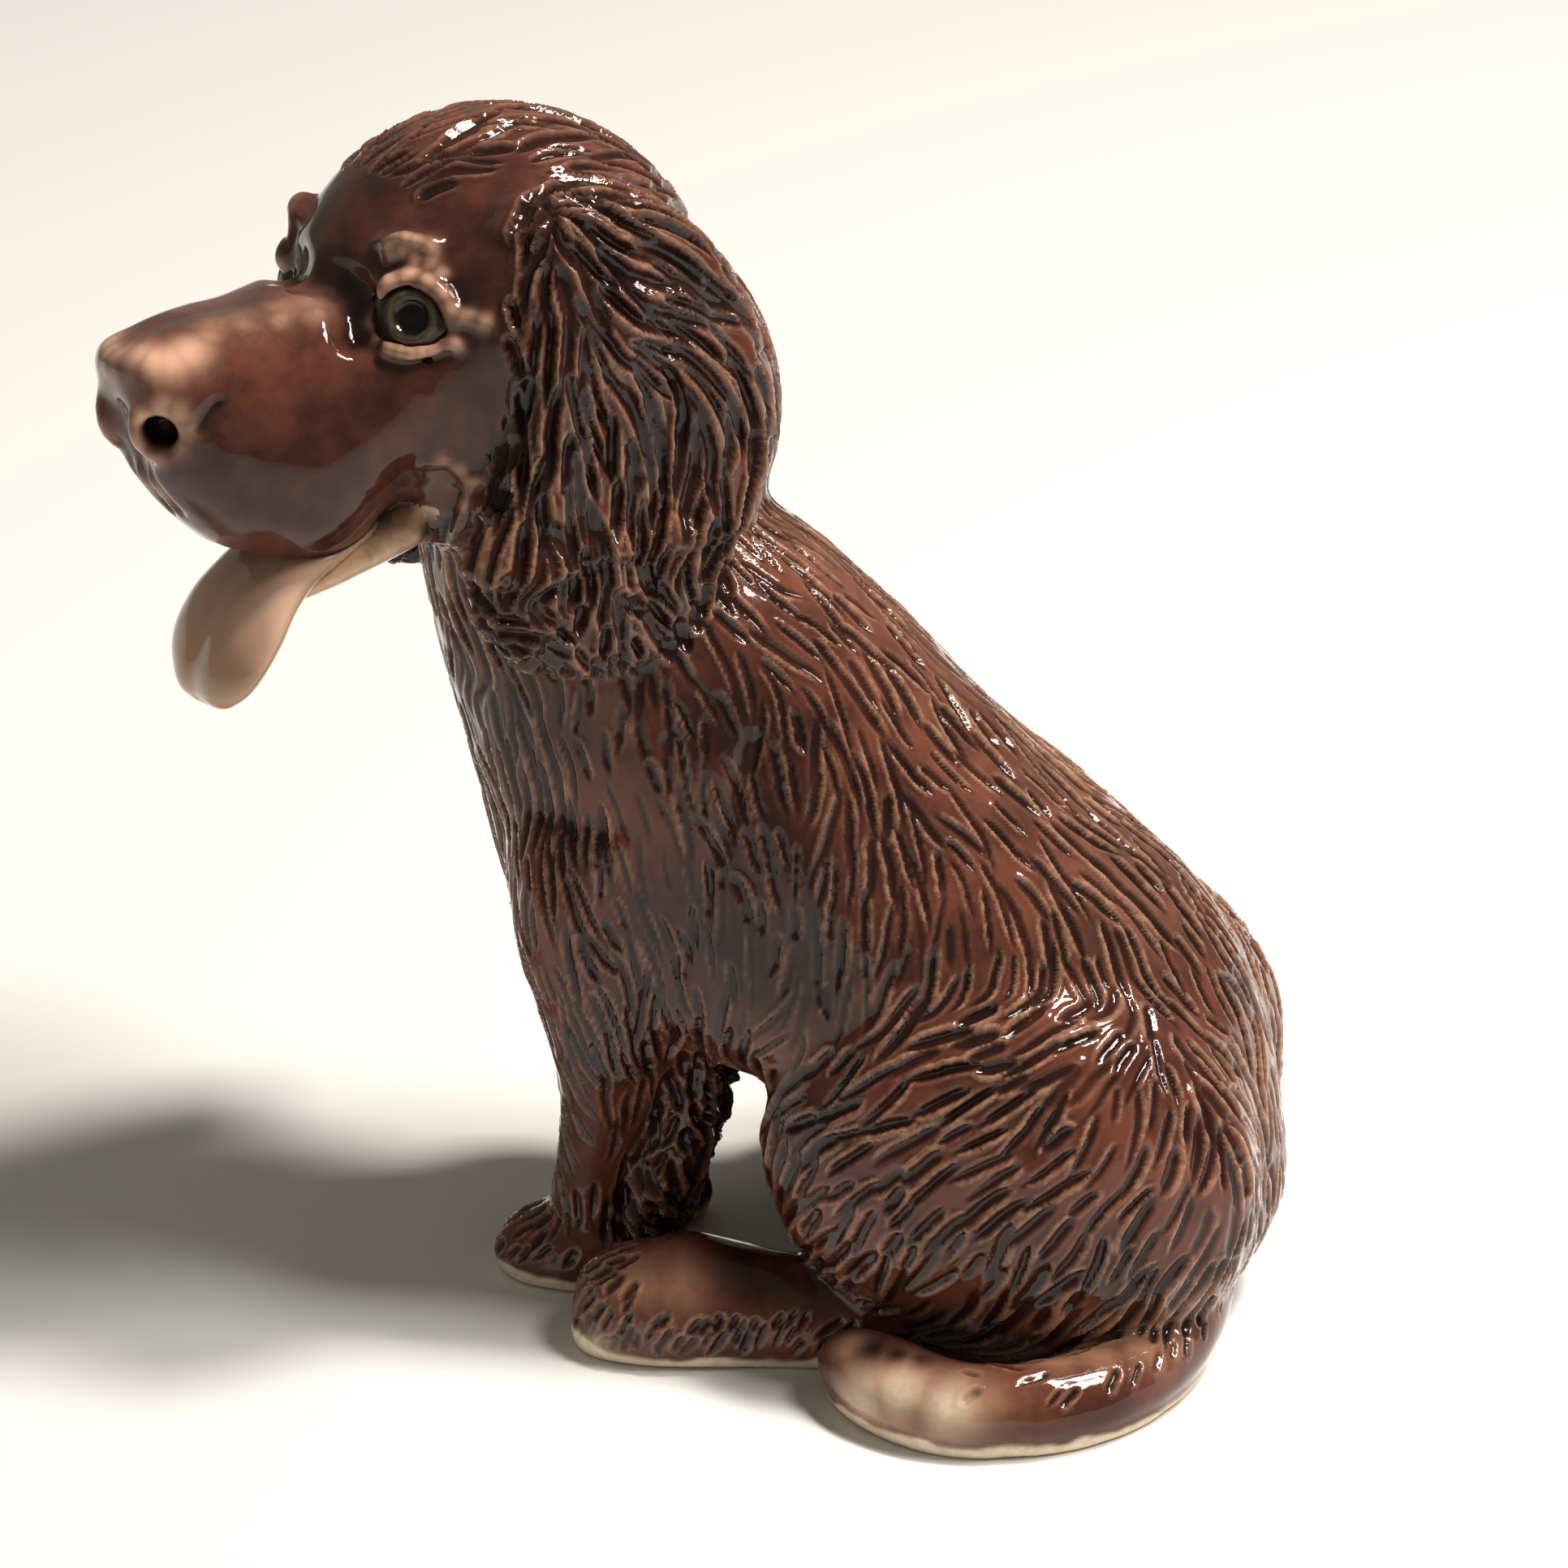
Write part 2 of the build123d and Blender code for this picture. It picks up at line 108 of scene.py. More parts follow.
# Rolls of clay laid on the face, as pixels of the view, with the roll's radius and how far it stands out
# in mm; both sides get them
FACE_ROLLS = {
    "lower_lid": (((455, 396), (462, 414), (478, 428), (506, 435), (534, 432), (562, 424)), 0.75, 0.7),
    "upper_lid": (
        ((457, 388), (462, 366), (478, 345), (504, 338), (528, 346), (545, 362), (558, 390)), 1.1, 0.9
    ),
    "brow_lump": (((475, 304), (483, 294), (497, 290)), 0.8, 0.75),
    "brow": (((499, 297), (513, 297), (530, 305), (539, 318)), 0.8, 0.7),
    "lid_fold": (((479, 318), (492, 311), (509, 318), (529, 322), (548, 340)), 0.8, 0.65),
    "eye_corner": (((558, 388), (576, 390), (597, 397)), 0.9, 0.5),
    "cheek_fold": (((533, 568), (554, 566), (568, 580), (582, 594), (606, 584)), 0.8, 0.65),
    "mouth_fold": (((582, 594), (568, 625), (552, 668)), 0.9, 0.75),
    "cheek_loop": (((606, 584), (630, 601), (626, 616), (606, 636)), 0.8, 0.7),
    "muzzle_edge": (((222, 446), (280, 434), (345, 422), (402, 404)), 5.0, 0.9),
}
# Fold from the far brow down to its lid, as pixels of the near side, but laid on the far side alone
FAR_BROW_ROLLS = {"far_brow": (((488, 292), (480, 312), (470, 340), (462, 362)), 1.5, 0.8)}
# Folds at the front of the left ear, on that side alone
EAR_ROLLS = {
    "ear_fold": (((614, 282), (624, 259), (646, 247), (668, 252), (688, 274)), 1.4, 0.8),
    "ear_inner_fold": (((640, 290), (660, 279), (676, 292), (684, 326)), 1.1, 0.8),
}
# Clay filling the back of the mouth, laid before the rest
CHEEK_FILLING = {"mouth_back": (((552, 662), (572, 640), (598, 615)), 3.6, 0.7)}
# Clay levelling the top of the hind feet
FOOT_FILLING = {"instep": (((850, 1540), (900, 1550), (955, 1566)), 4.5, 1.8)}
# Channels pressed into the face, with their radius and depth
FACE_CUTS = {
    "muzzle_back": (((380, 338), (410, 344), (431, 358), (441, 382), (444, 410)), 2.3, 1.5),
    "under_lid": (((466, 446), (498, 453), (532, 447), (552, 438)), 0.6, 0.35),
    "cheek_pit": (((616, 606), (618, 612)), 1.5, 1.3),
    "beside_nostril": (((268, 498), (256, 512), (246, 530)), 0.7, 0.4),
    "mouth_corner": (((530, 640), (535, 664)), 1.0, 1.0),
    "behind_mouth": (((562, 608), (553, 636), (542, 668)), 0.9, 0.6),
}
MOUTH_CORNER_PIXEL = (534, 652)
# Crease behind the shoulder
BODY_CUTS = {"shoulder": (((925, 915), (905, 990), (882, 1060), (858, 1130), (838, 1195)), 1.2, 0.6)}
NOSTRIL_PIXEL = (198, 531)

# Nose pad: places in mm left, ahead and up from the middle of the head, and radii of its rolls and channels
NOSTRIL_FILLING = ((3.75, 43.0, -2.0), (3.75, 46.5, -2.0))
NOSTRIL_FILLING_RADIUS = 1.9
PAD_EDGE_ASIDE = (-5.0, -2.5, 0.0, 2.5, 5.0)
PAD_EDGE_AHEAD, PAD_EDGE_BOW, PAD_EDGE_RISE = 46.4, 0.06, 3.4
PAD_EDGE_RADIUS = 1.5
PAD_HOLLOW = ((-9.0, 50.6, -3.8), (9.0, 50.6, -3.8))
PAD_HOLLOW_RADIUS = 4.8
# Nostril: the ring its rim follows, and how far out the wing and the pit start and end
NOSTRIL_RING, NOSTRIL_RIM_RADIUS = 2.6, 1.0
NOSTRIL_WING, NOSTRIL_WING_RADIUS = (-2.4, -2.0), 3.3
NOSTRIL_PIT, NOSTRIL_PIT_RADIUS = (1.5, -1.6), 1.9
# Splits of the upper lip as (distance left, radius), and their route as (distance ahead, height)
LIP_SPLITS = ((0.0, 0.7), (2.6, 0.5), (-2.6, 0.5))
LIP_SPLIT_ROUTE = ((46.6, -5.5), (45.2, -9.5), (42.5, -13.5))

# Places where the glaze is thin, and places painted lighter as lit (painted light on the back and on the top
# of the muzzle, a painted highlight at the nape), as pixels of the view, with a reach in mm and a strength
THIN_AND_LIT_PLACES = {
    "nose_top": (((212, 446), (190, 446), (168, 440), (232, 436)), 2.4, 0.95),
    "nose_front": (((146, 438),), 2.2, 0.8),
    "muzzle_ridge": (((256, 416), (301, 400), (345, 392), (387, 386)), 1.6, 0.4),
    "nostril_rim": (
        ((198, 503), (174, 514), (220, 512), (226, 534), (216, 554), (194, 560), (173, 548)), 1.5, 1.0
    ),
    "lip_split": (((178, 600), (196, 606)), 1.6, 0.6),
    "lower_lid": (
        ((455, 398), (462, 416), (478, 430), (492, 435), (506, 437), (520, 436), (534, 434), (562, 426)),
        1.0, 1.0,
    ),
    "upper_lid": (
        ((462, 366), (478, 345), (504, 336), (528, 344), (545, 360), (556, 380), (576, 390), (596, 397)),
        1.1, 1.0,
    ),
    "brow": (((476, 302), (486, 293), (499, 292), (513, 296), (530, 304)), 1.1, 0.95),
    "lid_fold": (((482, 316), (494, 311), (510, 317), (530, 322), (544, 335)), 0.9, 0.8),
    "cheek_fold": (((545, 566), (568, 580), (582, 594), (606, 584), (630, 601), (570, 622)), 0.9, 0.6),
    # Painted highlight at the tips of the nape
    "nape_highlight": (((935, 610),), 4.0, 0.3),
    # Painted light on the sunlit back
    "back": (((1000, 660), (1150, 800), (1300, 950), (1400, 1080)), 11.0, 0.12),
    "rump": (((1560, 1350),), 8.0, 0.25),
    "tail_tip": (((1105, 1712), (1062, 1726), (1180, 1740)), 4.5, 0.9),
    "tail_front": (((1046, 1655),), 2.5, 0.6),
    "tail_line": (
        ((1250, 1672), (1300, 1672), (1350, 1664), (1400, 1652), (1440, 1636), (1480, 1600)), 3.2, 0.45
    ),
    "foot_top": (((790, 1580), (840, 1585)), 3.5, 0.35),
    # Thin glaze and painted light on the lit top of the muzzle
    "thin_lit_muzzle_top": (((262, 400), (300, 391), (345, 380), (385, 370)), 3.0, 0.28),
}
# Places rubbed down to the clay
WIPED_PLACES = {
    "tail_tip": (((1105, 1715), (1062, 1722), (1165, 1738)), 2.8, 0.65),
    "lip_split": (((196, 612),), 1.2, 0.35),
    "toe": (((735, 1660),), 2.0, 0.5),
}
# Places painted darker: thick glaze in the corners of the eye and mouth, the cheek pit and the drop on the
# tail;
# painted shade on the flank, the side of the muzzle and before the ear, and a painted shadow of the head on
# the throat; the rest simply darker
THICK_AND_SHADE_PLACES = {
    # Painted shade in front of the ear, where it stands off the cheek
    "shade_before_ear": (((655, 400), (652, 470), (636, 540)), 3.5, 0.75),
    "temple": (((575, 270), (600, 340), (600, 470)), 6.0, 0.6),
    # Painted shade on the side of the muzzle, darker than its lit top
    "shaded_muzzle_side": (((260, 585), (330, 560), (400, 540), (470, 500), (300, 640), (400, 640)), 7.0, 0.7),
    "forehead": (((470, 230), (540, 220), (430, 260)), 6.0, 0.6),
    "tear_corner": (((444, 410), (442, 394), (438, 374), (426, 356)), 1.9, 0.95),
    "mouth_corner": (((535, 652), (530, 675)), 2.2, 0.9),
    "cheek_pit": (((617, 608),), 1.4, 1.0),
    # Painted shadow of the head and ear on the throat
    "throat": (((640, 800), (700, 880), (800, 870), (620, 900)), 9.0, 0.6),
    # Painted shade on the flank, which faces away from the light
    "shaded_flank": (((900, 900), (950, 1050), (960, 1180), (890, 1130)), 12.0, 0.95),
    "elbow": (((880, 1250), (850, 1330), (820, 1420)), 7.0, 0.75),
    "leg": (((760, 1400), (740, 1320)), 9.0, 0.65),
    "haunch": (((1000, 1350), (1000, 1480), (1120, 1530), (1250, 1540)), 11.0, 0.3),
    "foot_back": (((918, 1560), (945, 1580)), 4.0, 0.9),
    "under_haunch": (((1250, 1605), (1120, 1590), (1380, 1580)), 6.0, 0.5),
    "tail_drop": (((1076, 1662), (1105, 1668), (1138, 1674)), 2.4, 1.0),
}

# Lean of the tooled strokes from plumb, in degrees towards the rump, at places (y, z) on the sides
BODY_LEAN = (
    (-28, 102, 45), (-8, 83, 45), (11, 65, 42), (21, 52, 30), (27, 37, 10), (28, 25, -5), (-26, 96, 35),
    (-16, 82, 25), (-6, 72, 30), (3, 62, 35), (-30, 76, 8), (-21, 67, 8), (-11, 62, 5), (-6, 57, -5),
    (5, 55, 8), (-30, 56, 0), (-21, 53, -20), (-16, 51, -35), (-64, 68, 25), (-55, 62, 28), (-50, 53, 20),
    (-42, 60, 5), (-40, 70, 0), (-57, 78, 5), (-52, 30, 5), (-52, 10, 0),
)
HAUNCH_LEAN = (
    (-16, 50, -75), (-5, 47, -65), (2, 51, -50), (-25, 39, -50), (-15, 38, -50), (-5, 33, -45), (4, 39, -30),
    (14, 45, -15), (19, 35, -20), (-30, 26, -25), (-20, 24, -35), (-10, 22, -38), (4, 23, -38), (14, 21, -35),
    (22, 30, -25), (-30, 8, -30), (0, 6, -35),
)


def unit(vectors):
    """Vectors scaled to length one."""
    return vectors / np.maximum(np.linalg.norm(vectors, axis=-1, keepdims=True), 1e-9)


def smoothstep(low, high, values):
    """Soft step from 0 at low to 1 at high."""
    share = np.clip((values - low) / (high - low), 0, 1)
    return share * share * (3 - 2 * share)


def blended(field, cell, share):
    """Values of a field between the corners of its cells; past its ends the field repeats."""
    total = np.zeros(len(cell))
    for corner in np.ndindex(2, 2, 2):
        weight = np.prod(np.where(corner, share, 1 - share), axis=1)
        at = (cell + corner) % field.shape
        total += weight * field[at[:, 0], at[:, 1], at[:, 2]]
    return total


def lumps(points, size, seed):
    """Smooth uneven values from -1 to 1, with lumps of the given size in mm."""
    lattice = np.random.default_rng(seed).uniform(-1, 1, (64, 64, 64))
    place = points / size
    cell = np.floor(place).astype(int)
    share = place - cell
    return blended(lattice, cell, share * share * (3 - 2 * share))


# Directions of the head, taken from the eyes
def node_middle(name):
    """Middle of a CAD piece's box."""
    low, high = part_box(name)
    return np.array((low + high) / 2) / MM


EYES_AHEAD, EYES_RISE = 14.7, 4.8
EYE_RADIUS, EYE_BEDDING, PUPIL_DEPTH = 6.0, 0.25, 1.2
left_eye, right_eye = node_middle("left_eyeball"), node_middle("right_eyeball")
head_left = unit(left_eye - right_eye)
head_ahead = unit(np.cross(head_left, (0, 0, 1)))
head_up = np.cross(head_left, -head_ahead)
head_middle = (left_eye + right_eye) / 2 - EYES_AHEAD * head_ahead - EYES_RISE * head_up


def on_head(points):
    """Places on the head as distances left, ahead and up from its middle."""
    away = points - head_middle
    return away @ head_left, away @ head_ahead, away @ head_up


def from_head(left, ahead, rise):
    """Place given by distances left, ahead and up from the middle of the head."""
    return head_middle + left * head_left + ahead * head_ahead + rise * head_up


def other_side_of_head(places):
    """The same places on the other side of the face."""
    return places - 2 * np.outer((places - head_middle) @ head_left, head_left)


def other_side_of_body(places):
    """The same places on the other side of the body."""
    return places * np.array((-1, 1, 1))


def other_hind_foot(places):
    """The same places on the other hind foot, which is drawn further back."""
    setback = (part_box("right_hind_foot")[0].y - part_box("left_hind_foot")[0].y) / MM
    return other_side_of_body(places) + np.array((0, setback, 0))


# Clay, run together from the CAD pieces
grid_low = np.array(cad_low) / MM - 4
grid_shape = np.ceil((np.array(cad_high) / MM + 4 - grid_low) / VOXEL).astype(int)


def node_triangles(name):
    """Points of a CAD piece in voxels, and its triangles."""
    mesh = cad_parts[name].data
    mesh.calc_loop_triangles()
    points = np.empty(len(mesh.vertices) * 3, np.float32)
    mesh.vertices.foreach_get("co", points)
    corners = np.empty(len(mesh.loop_triangles) * 3, np.int32)
    mesh.loop_triangles.foreach_get("vertices", corners)
    points = (points.reshape(-1, 3) / MM - grid_low) / VOXEL
    return points.astype(np.float32), corners.reshape(-1, 3).astype(np.uint32)


def level_set(points, corners, band):
    """Distance from a closed skin, in voxels, out to a band of voxels."""
    return openvdb.FloatGrid.createLevelSetFromPolygons(
        points, triangles=corners, transform=openvdb.createLinearTransform(1.0), halfWidth=float(band)
    )


def block_of(start, end):
    """Slices of the block of voxels from start to end."""
    return tuple(slice(a, b) for a, b in zip(start, end))


def block_places(start, end):
    """Places in mm of the voxels in a block."""
    spot = np.stack(np.meshgrid(*[np.arange(a, b) for a, b in zip(start, end)], indexing="ij"), -1)
    return spot * VOXEL + grid_low


def piece_field(name, band=BAND):
    """Distance from the skin of one CAD piece, negative inside, over the block of voxels round it."""
    points, corners = node_triangles(name)
    level = level_set(points, corners, band)
    start = np.maximum(np.floor(points.min(0)).astype(int) - band, 0)
    end = np.minimum(np.ceil(points.max(0)).astype(int) + band + 1, grid_shape)
    block = np.empty(end - start, np.float32)
    level.copyToArray(block, ijk=tuple(int(i) for i in start))
    return block * VOXEL, block_of(start, end)


def without_hollow(block):
    """The same field with the space inside the walls filled."""
    walled = np.ones(block.shape, bool)
    clay = block < 0
    for axis in (0, 1):
        walled &= np.logical_or.accumulate(clay, axis)
        walled &= np.flip(np.logical_or.accumulate(np.flip(clay, axis), axis), axis)
    return np.where(walled & (block > 0), -WIDE_BAND * VOXEL, block)


def run_together(one, other, radius):
    """Union of two fields with the join smoothed."""
    share = np.maximum(radius - np.abs(one - other), 0) / np.maximum(radius, 1e-6)
    return np.minimum(one, other) - share * share * radius / 4


clay = np.full(grid_shape, WIDE_BAND * VOXEL, np.float32)
nearest = clay.copy()
owner = np.zeros(grid_shape, np.uint8)
for index, (name, radius, thinned) in enumerate(CLAY_PIECES):
    block, place = piece_field(name, WIDE_BAND if name in WIDE_PIECES else BAND)
    if name in ("torso", "head"):
        block = without_hollow(block)
    if name in nodes_of("ear"):
        level = grid_low[2] + VOXEL * np.arange(place[2].start, place[2].stop) - head_middle[2]
        radius = radius + EAR_JOIN * smoothstep(*EAR_JOIN_HEIGHTS, level)
    if name in nodes_of("haunch"):
        back = grid_low[1] + VOXEL * np.arange(place[1].start, place[1].stop)
        radius = radius + HAUNCH_JOIN * smoothstep(*HAUNCH_JOIN_PLACES, back)[:, None]
    closer = block < nearest[place]
    owner[place][closer] = index
    nearest[place] = np.minimum(nearest[place], block)
    clay[place] = run_together(clay[place], block + thinned, radius)


def sampled(field, places):
    """Values of a field at places in mm."""
    spot = np.clip((places - grid_low) / VOXEL, 0, grid_shape - 1.001)
    cell = spot.astype(int)
    return blended(field, cell, spot - cell)


def outward(places, field):
    """Direction out of a field at places on its skin."""
    step = np.eye(3) * 2 * VOXEL
    return unit(np.stack([sampled(field, places + s) - sampled(field, places - s) for s in step], 1))


def seen(pixels, field):
    """Places on the skin of a field that the view shows at pixels of its frame."""
    pixels = np.array(pixels, float)
    scale = SENSOR / LENS / FRAME_SIDE
    aside, above = (pixels[:, 0] - FRAME_SIDE / 2) * scale, (FRAME_SIDE / 2 - pixels[:, 1]) * scale
    ray = unit(np.outer(aside, view_right) + np.outer(above, view_up) - view_back)
    at = view_point + ray * (DISTANCE - 160)
    for _ in range(220):
        at = at + ray * np.clip(sampled(field, at) * 0.8, 0, 3)[:, None]
    return at


def lay_lines(lines):
    """Adds rolls of clay along places, or presses channels there, with the clay smoothed at their edges."""
    for places, radius, cut in lines:
        join = 0.7 * radius + 0.3
        reach = radius + join + 1
        start = np.floor((places.min(0) - reach - grid_low) / VOXEL).astype(int).clip(0, grid_shape - 2)
        end = np.ceil((places.max(0) + reach - grid_low) / VOXEL).astype(int).clip(1, grid_shape)
        place, spot = block_of(start, end), block_places(start, end)
        distance = np.full(spot.shape[:3], 99.0)
        for a, b in zip(places[:-1], places[1:]):
            along = np.clip(((spot - a) @ (b - a)) / max((b - a) @ (b - a), 1e-9), 0, 1)
            distance = np.minimum(distance, np.linalg.norm(spot - a - along[..., None] * (b - a), axis=-1))
        side = -1 if cut else 1
        clay[place] = side * run_together(side * clay[place], distance - radius, join)


def ball_field(middle, radius):
    """Distance from a ball, over the block of voxels round it."""
    start = np.floor((middle - radius - 4 - grid_low) / VOXEL).astype(int)
    end = np.ceil((middle + radius + 4 - grid_low) / VOXEL).astype(int)
    block = np.linalg.norm(block_places(start, end) - middle, axis=-1) - radius
    return block, block_of(start, end)


def drawn(rolls, cut, other_side, field):
    """Lines of clay or channels drawn on a field, and on the other side of the dog where it is given."""
    made = []
    for pixels, radius, stand in rolls.values():
        places = seen(pixels, field)
        places = places + outward(places, field) * (radius - stand) * (1 if cut else -1)
        made.append((places, radius, cut))
        if other_side:
            made.append((other_side(places), radius, cut))
    return made


lay_lines(drawn(CHEEK_FILLING, False, other_side_of_head, clay))
lay_lines(drawn(FOOT_FILLING, False, other_hind_foot, clay))
with_eyes = clay.copy()
for eye in (left_eye, right_eye):
    block, place = ball_field(eye, EYE_RADIUS)
    with_eyes[place] = np.minimum(with_eyes[place], block)
lines = drawn(FACE_ROLLS, False, other_side_of_head, with_eyes)
far_brow = drawn(FAR_BROW_ROLLS, False, None, with_eyes)
lines += [(other_side_of_head(places), radius, cut) for places, radius, cut in far_brow]
lines += drawn(EAR_ROLLS, False, None, clay)
lines += drawn(FACE_CUTS, True, other_side_of_head, with_eyes)
lines += drawn(BODY_CUTS, True, other_side_of_body, clay)

# Nose pad: hollowed below its front edge, with rims round the nostrils and the split of the upper lip
filling = np.stack([from_head(*place) for place in NOSTRIL_FILLING])
pad_edge = np.stack(
    [from_head(x, PAD_EDGE_AHEAD - PAD_EDGE_BOW * x * x, PAD_EDGE_RISE) for x in PAD_EDGE_ASIDE]
)
pad_hollow = np.stack([from_head(*place) for place in PAD_HOLLOW])
lay_lines([(places, NOSTRIL_FILLING_RADIUS, False) for places in (filling, other_side_of_head(filling))])
lay_lines([(pad_edge, PAD_EDGE_RADIUS, False), (pad_hollow, PAD_HOLLOW_RADIUS, True)])
nostril_middle = seen([NOSTRIL_PIXEL], clay)[0]
nostril_out = unit(0.80 * head_left + 0.55 * head_ahead - 0.1 * head_up)
rim_side = unit(np.cross(nostril_out, head_up))
rim_up = np.cross(rim_side, nostril_out)
rim_turn = np.linspace(0, 2 * np.pi, 13)
rim_round = np.outer(np.cos(rim_turn), rim_side) + np.outer(np.sin(rim_turn), rim_up)
rim = nostril_middle + NOSTRIL_RING * rim_round
wing, pit = (
    np.stack([nostril_middle + nostril_out * out for out in reach]) for reach in (NOSTRIL_WING, NOSTRIL_PIT)
)
for places, radius, cut in (
    (wing, NOSTRIL_WING_RADIUS, False), (rim, NOSTRIL_RIM_RADIUS, False), (pit, NOSTRIL_PIT_RADIUS, True)
):
    lines.append((places, radius, cut))
    lines.append((other_side_of_head(places), radius, cut))
for left, radius in LIP_SPLITS:
    split = np.stack([from_head(left, ahead, rise) for ahead, rise in LIP_SPLIT_ROUTE])
    lines.append((split, radius, True))
lay_lines(lines)

# Feet, tail and seat tuck in a little where they meet the ground
TUCK_HEIGHT, TUCK = 2.4, 0.9
level = grid_low[2] + VOXEL * np.arange(grid_shape[2])
foot = np.searchsorted(level, TUCK_HEIGHT)
tuck = TUCK * np.clip((TUCK_HEIGHT - level) / TUCK_HEIGHT, 0, 1) ** 2
clay[:, :, :foot] = clay[:, :, foot : foot + 1] + tuck[:foot]
clay = np.maximum(clay, -level).astype(np.float32)

for eye in (left_eye, right_eye):
    block, place = ball_field(eye, EYE_RADIUS - EYE_BEDDING)
    clay[place] = np.maximum(clay[place], -block)
block, place = piece_field("seat_slab")
clay[place] = np.maximum(clay[place], -block)
# Clay with the eyes in it, inside which the pieces are closed off
solid = clay.copy()
for eye in (left_eye, right_eye):
    block, place = ball_field(eye, EYE_RADIUS - 0.3)
    solid[place] = np.minimum(solid[place], block)


def skin_of(field):
    """Points in mm and quads of the skin of a field."""
    limit = 3 * VOXEL
    level = openvdb.FloatGrid(limit)
    level.copyFromArray(np.clip(field, -limit, limit).astype(np.float32))
    points, quads = level.convertToQuads(0.0)
    return points.astype(float) * VOXEL + grid_low, quads.astype(int)


def largest_shell(points, quads):
    """Only the shell with the most points."""
    mark = np.arange(len(points))
    while True:
        low = mark[quads].min(1)
        spread = mark.copy()
        np.minimum.at(spread, quads.ravel(), np.repeat(low, 4))
        spread = spread[spread]
        if np.array_equal(spread, mark):
            break
        mark = spread
    main = np.bincount(mark).argmax()
    quads = quads[mark[quads[:, 0]] == main]
    used, quads = np.unique(quads, return_inverse=True)
    return points[used], quads.reshape(-1, 4)


points, quads = largest_shell(*skin_of(clay))


def quad_normals(points):
    """Direction out of each quad, as long as twice its area."""
    return np.cross(points[quads[:, 2]] - points[quads[:, 0]], points[quads[:, 3]] - points[quads[:, 1]])


if np.einsum("ij,ij->", quad_normals(points), points[quads].mean(1)) < 0:
    quads = quads[:, ::-1].copy()


def skin_edges(quads, count):
    """Edges of a skin, and how many of them meet at each of its points."""
    edges = np.concatenate([quads[:, (a, (a + 1) % 4)] for a in range(4)])
    edges = np.unique(np.sort(edges, axis=1), axis=0)
    return edges, np.bincount(edges.ravel(), minlength=count)


edges, degree = skin_edges(quads, len(points))


def point_normals(points):
    """Normal at each point of the skin."""
    faces = quad_normals(points)
    shared = [np.bincount(quads.ravel(), np.repeat(faces[:, c], 4), len(points)) for c in range(3)]
    return unit(np.stack(shared, 1))


def evened(values, rounds):
    """Values spread to their neighbours along the skin, once for each round."""
    flat = values.reshape(len(values), -1)
    for _ in range(rounds):
        columns = []
        for c in range(flat.shape[1]):
            total = np.bincount(edges[:, 0], flat[edges[:, 1], c], len(flat))
            total += np.bincount(edges[:, 1], flat[edges[:, 0], c], len(flat))
            columns.append(total / degree)
        flat = 0.5 * flat + 0.5 * np.stack(columns, 1)
    return flat.reshape(values.shape)


points = evened(points, 3)
cell = np.clip(np.round((points - grid_low) / VOXEL).astype(int), 0, grid_shape - 1)
piece_of = owner[cell[:, 0], cell[:, 1], cell[:, 2]]
normals = point_normals(evened(points, 4))


def is_piece(*names):
    """Points of the skin that belong to the named pieces, on both sides."""
    return np.isin(piece_of, [PIECE_NAMES.index(n) for n in nodes_of(*names)])


_, ahead_of_head, above_head = on_head(points)
mouth_corner_ahead = on_head(seen([MOUTH_CORNER_PIXEL], clay))[1][0]
piece_of[is_piece("lower_jaw") & (ahead_of_head < mouth_corner_ahead)] = PIECE_NAMES.index("head")
for eye in (left_eye, right_eye):
    piece_of[np.linalg.norm(points - eye, axis=1) < EYE_RADIUS + 0.15] = PIECE_NAMES.index("head")
height = points[:, 2]
drop = height - head_middle[2]
on_ear, on_haunch, on_head_ball, on_feather, on_foreleg, on_paw, on_hind_foot, on_tail, on_torso = (
    is_piece(name)
    for name in ("ear", "haunch", "head", "feathering", "foreleg", "forepaw", "hind_foot", "tail", "torso")
)
on_face = is_piece("muzzle", "nose", "lower_jaw", "brow", "upper_lid", "lower_lid")


# Direction of the fur
def leaning(guides, reach):
    """Stroke directions at every point, from guides of lean over the sides of the dog."""
    guides = np.array(guides, float)
    lean = np.radians(guides[:, 2])
    away = (points[:, None, 1:] - guides[None, :, :2]) ** 2
    weight = np.exp(-away.sum(2) / (2 * reach * reach)) + 1e-9
    along = weight @ np.stack([np.zeros(len(guides)), np.sin(lean), -np.cos(lean)], 1)
    return unit(along)


flow = leaning(BODY_LEAN, 7.0)
flow[on_haunch] = leaning(HAUNCH_LEAN, 7.0)[on_haunch]
backward = -head_ahead
down = np.array((0.0, 0.0, -1.0))
sweep = smoothstep(14, -12, above_head)[:, None]
flow[on_head_ball] = unit(backward * (1.1 - 0.9 * sweep) + down * (0.35 + sweep))[on_head_ball]
ear_sweep = smoothstep(-14, 10, drop)[:, None] * smoothstep(9, -9, ahead_of_head)[:, None]
flow[on_ear] = unit(down + backward * 1.2 * ear_sweep)[on_ear]
tail_middle = node_middle("left_haunch")
round_tail = np.cross(points - tail_middle, (0, 0, 1))
round_tail[:, 2] = 0
flow[on_tail] = unit(unit(round_tail) + np.array((0, 0, -0.9)))[on_tail]
flow[on_paw | on_hind_foot] = unit(np.array((0, -0.75, -1.0)))
flow = unit(evened(flow, 80))
wander = np.stack([lumps(points, 5.0, seed) + 0.8 * lumps(points, 11.0, seed + 3) for seed in (1, 2, 3)], 1)
curl = np.full(len(points), 0.24)
curl[on_ear] = 0.25 + 0.75 * smoothstep(-17, -23, drop[on_ear])
throat = on_torso * smoothstep(-48, -56, points[:, 1]) * smoothstep(70, 80, height)
curl = np.maximum(curl, 0.7 * throat)
curl[on_feather] = 0.9
flow = flow + wander * curl[:, None]
flow = unit(flow - np.einsum("ij,ij->i", flow, normals)[:, None] * normals)

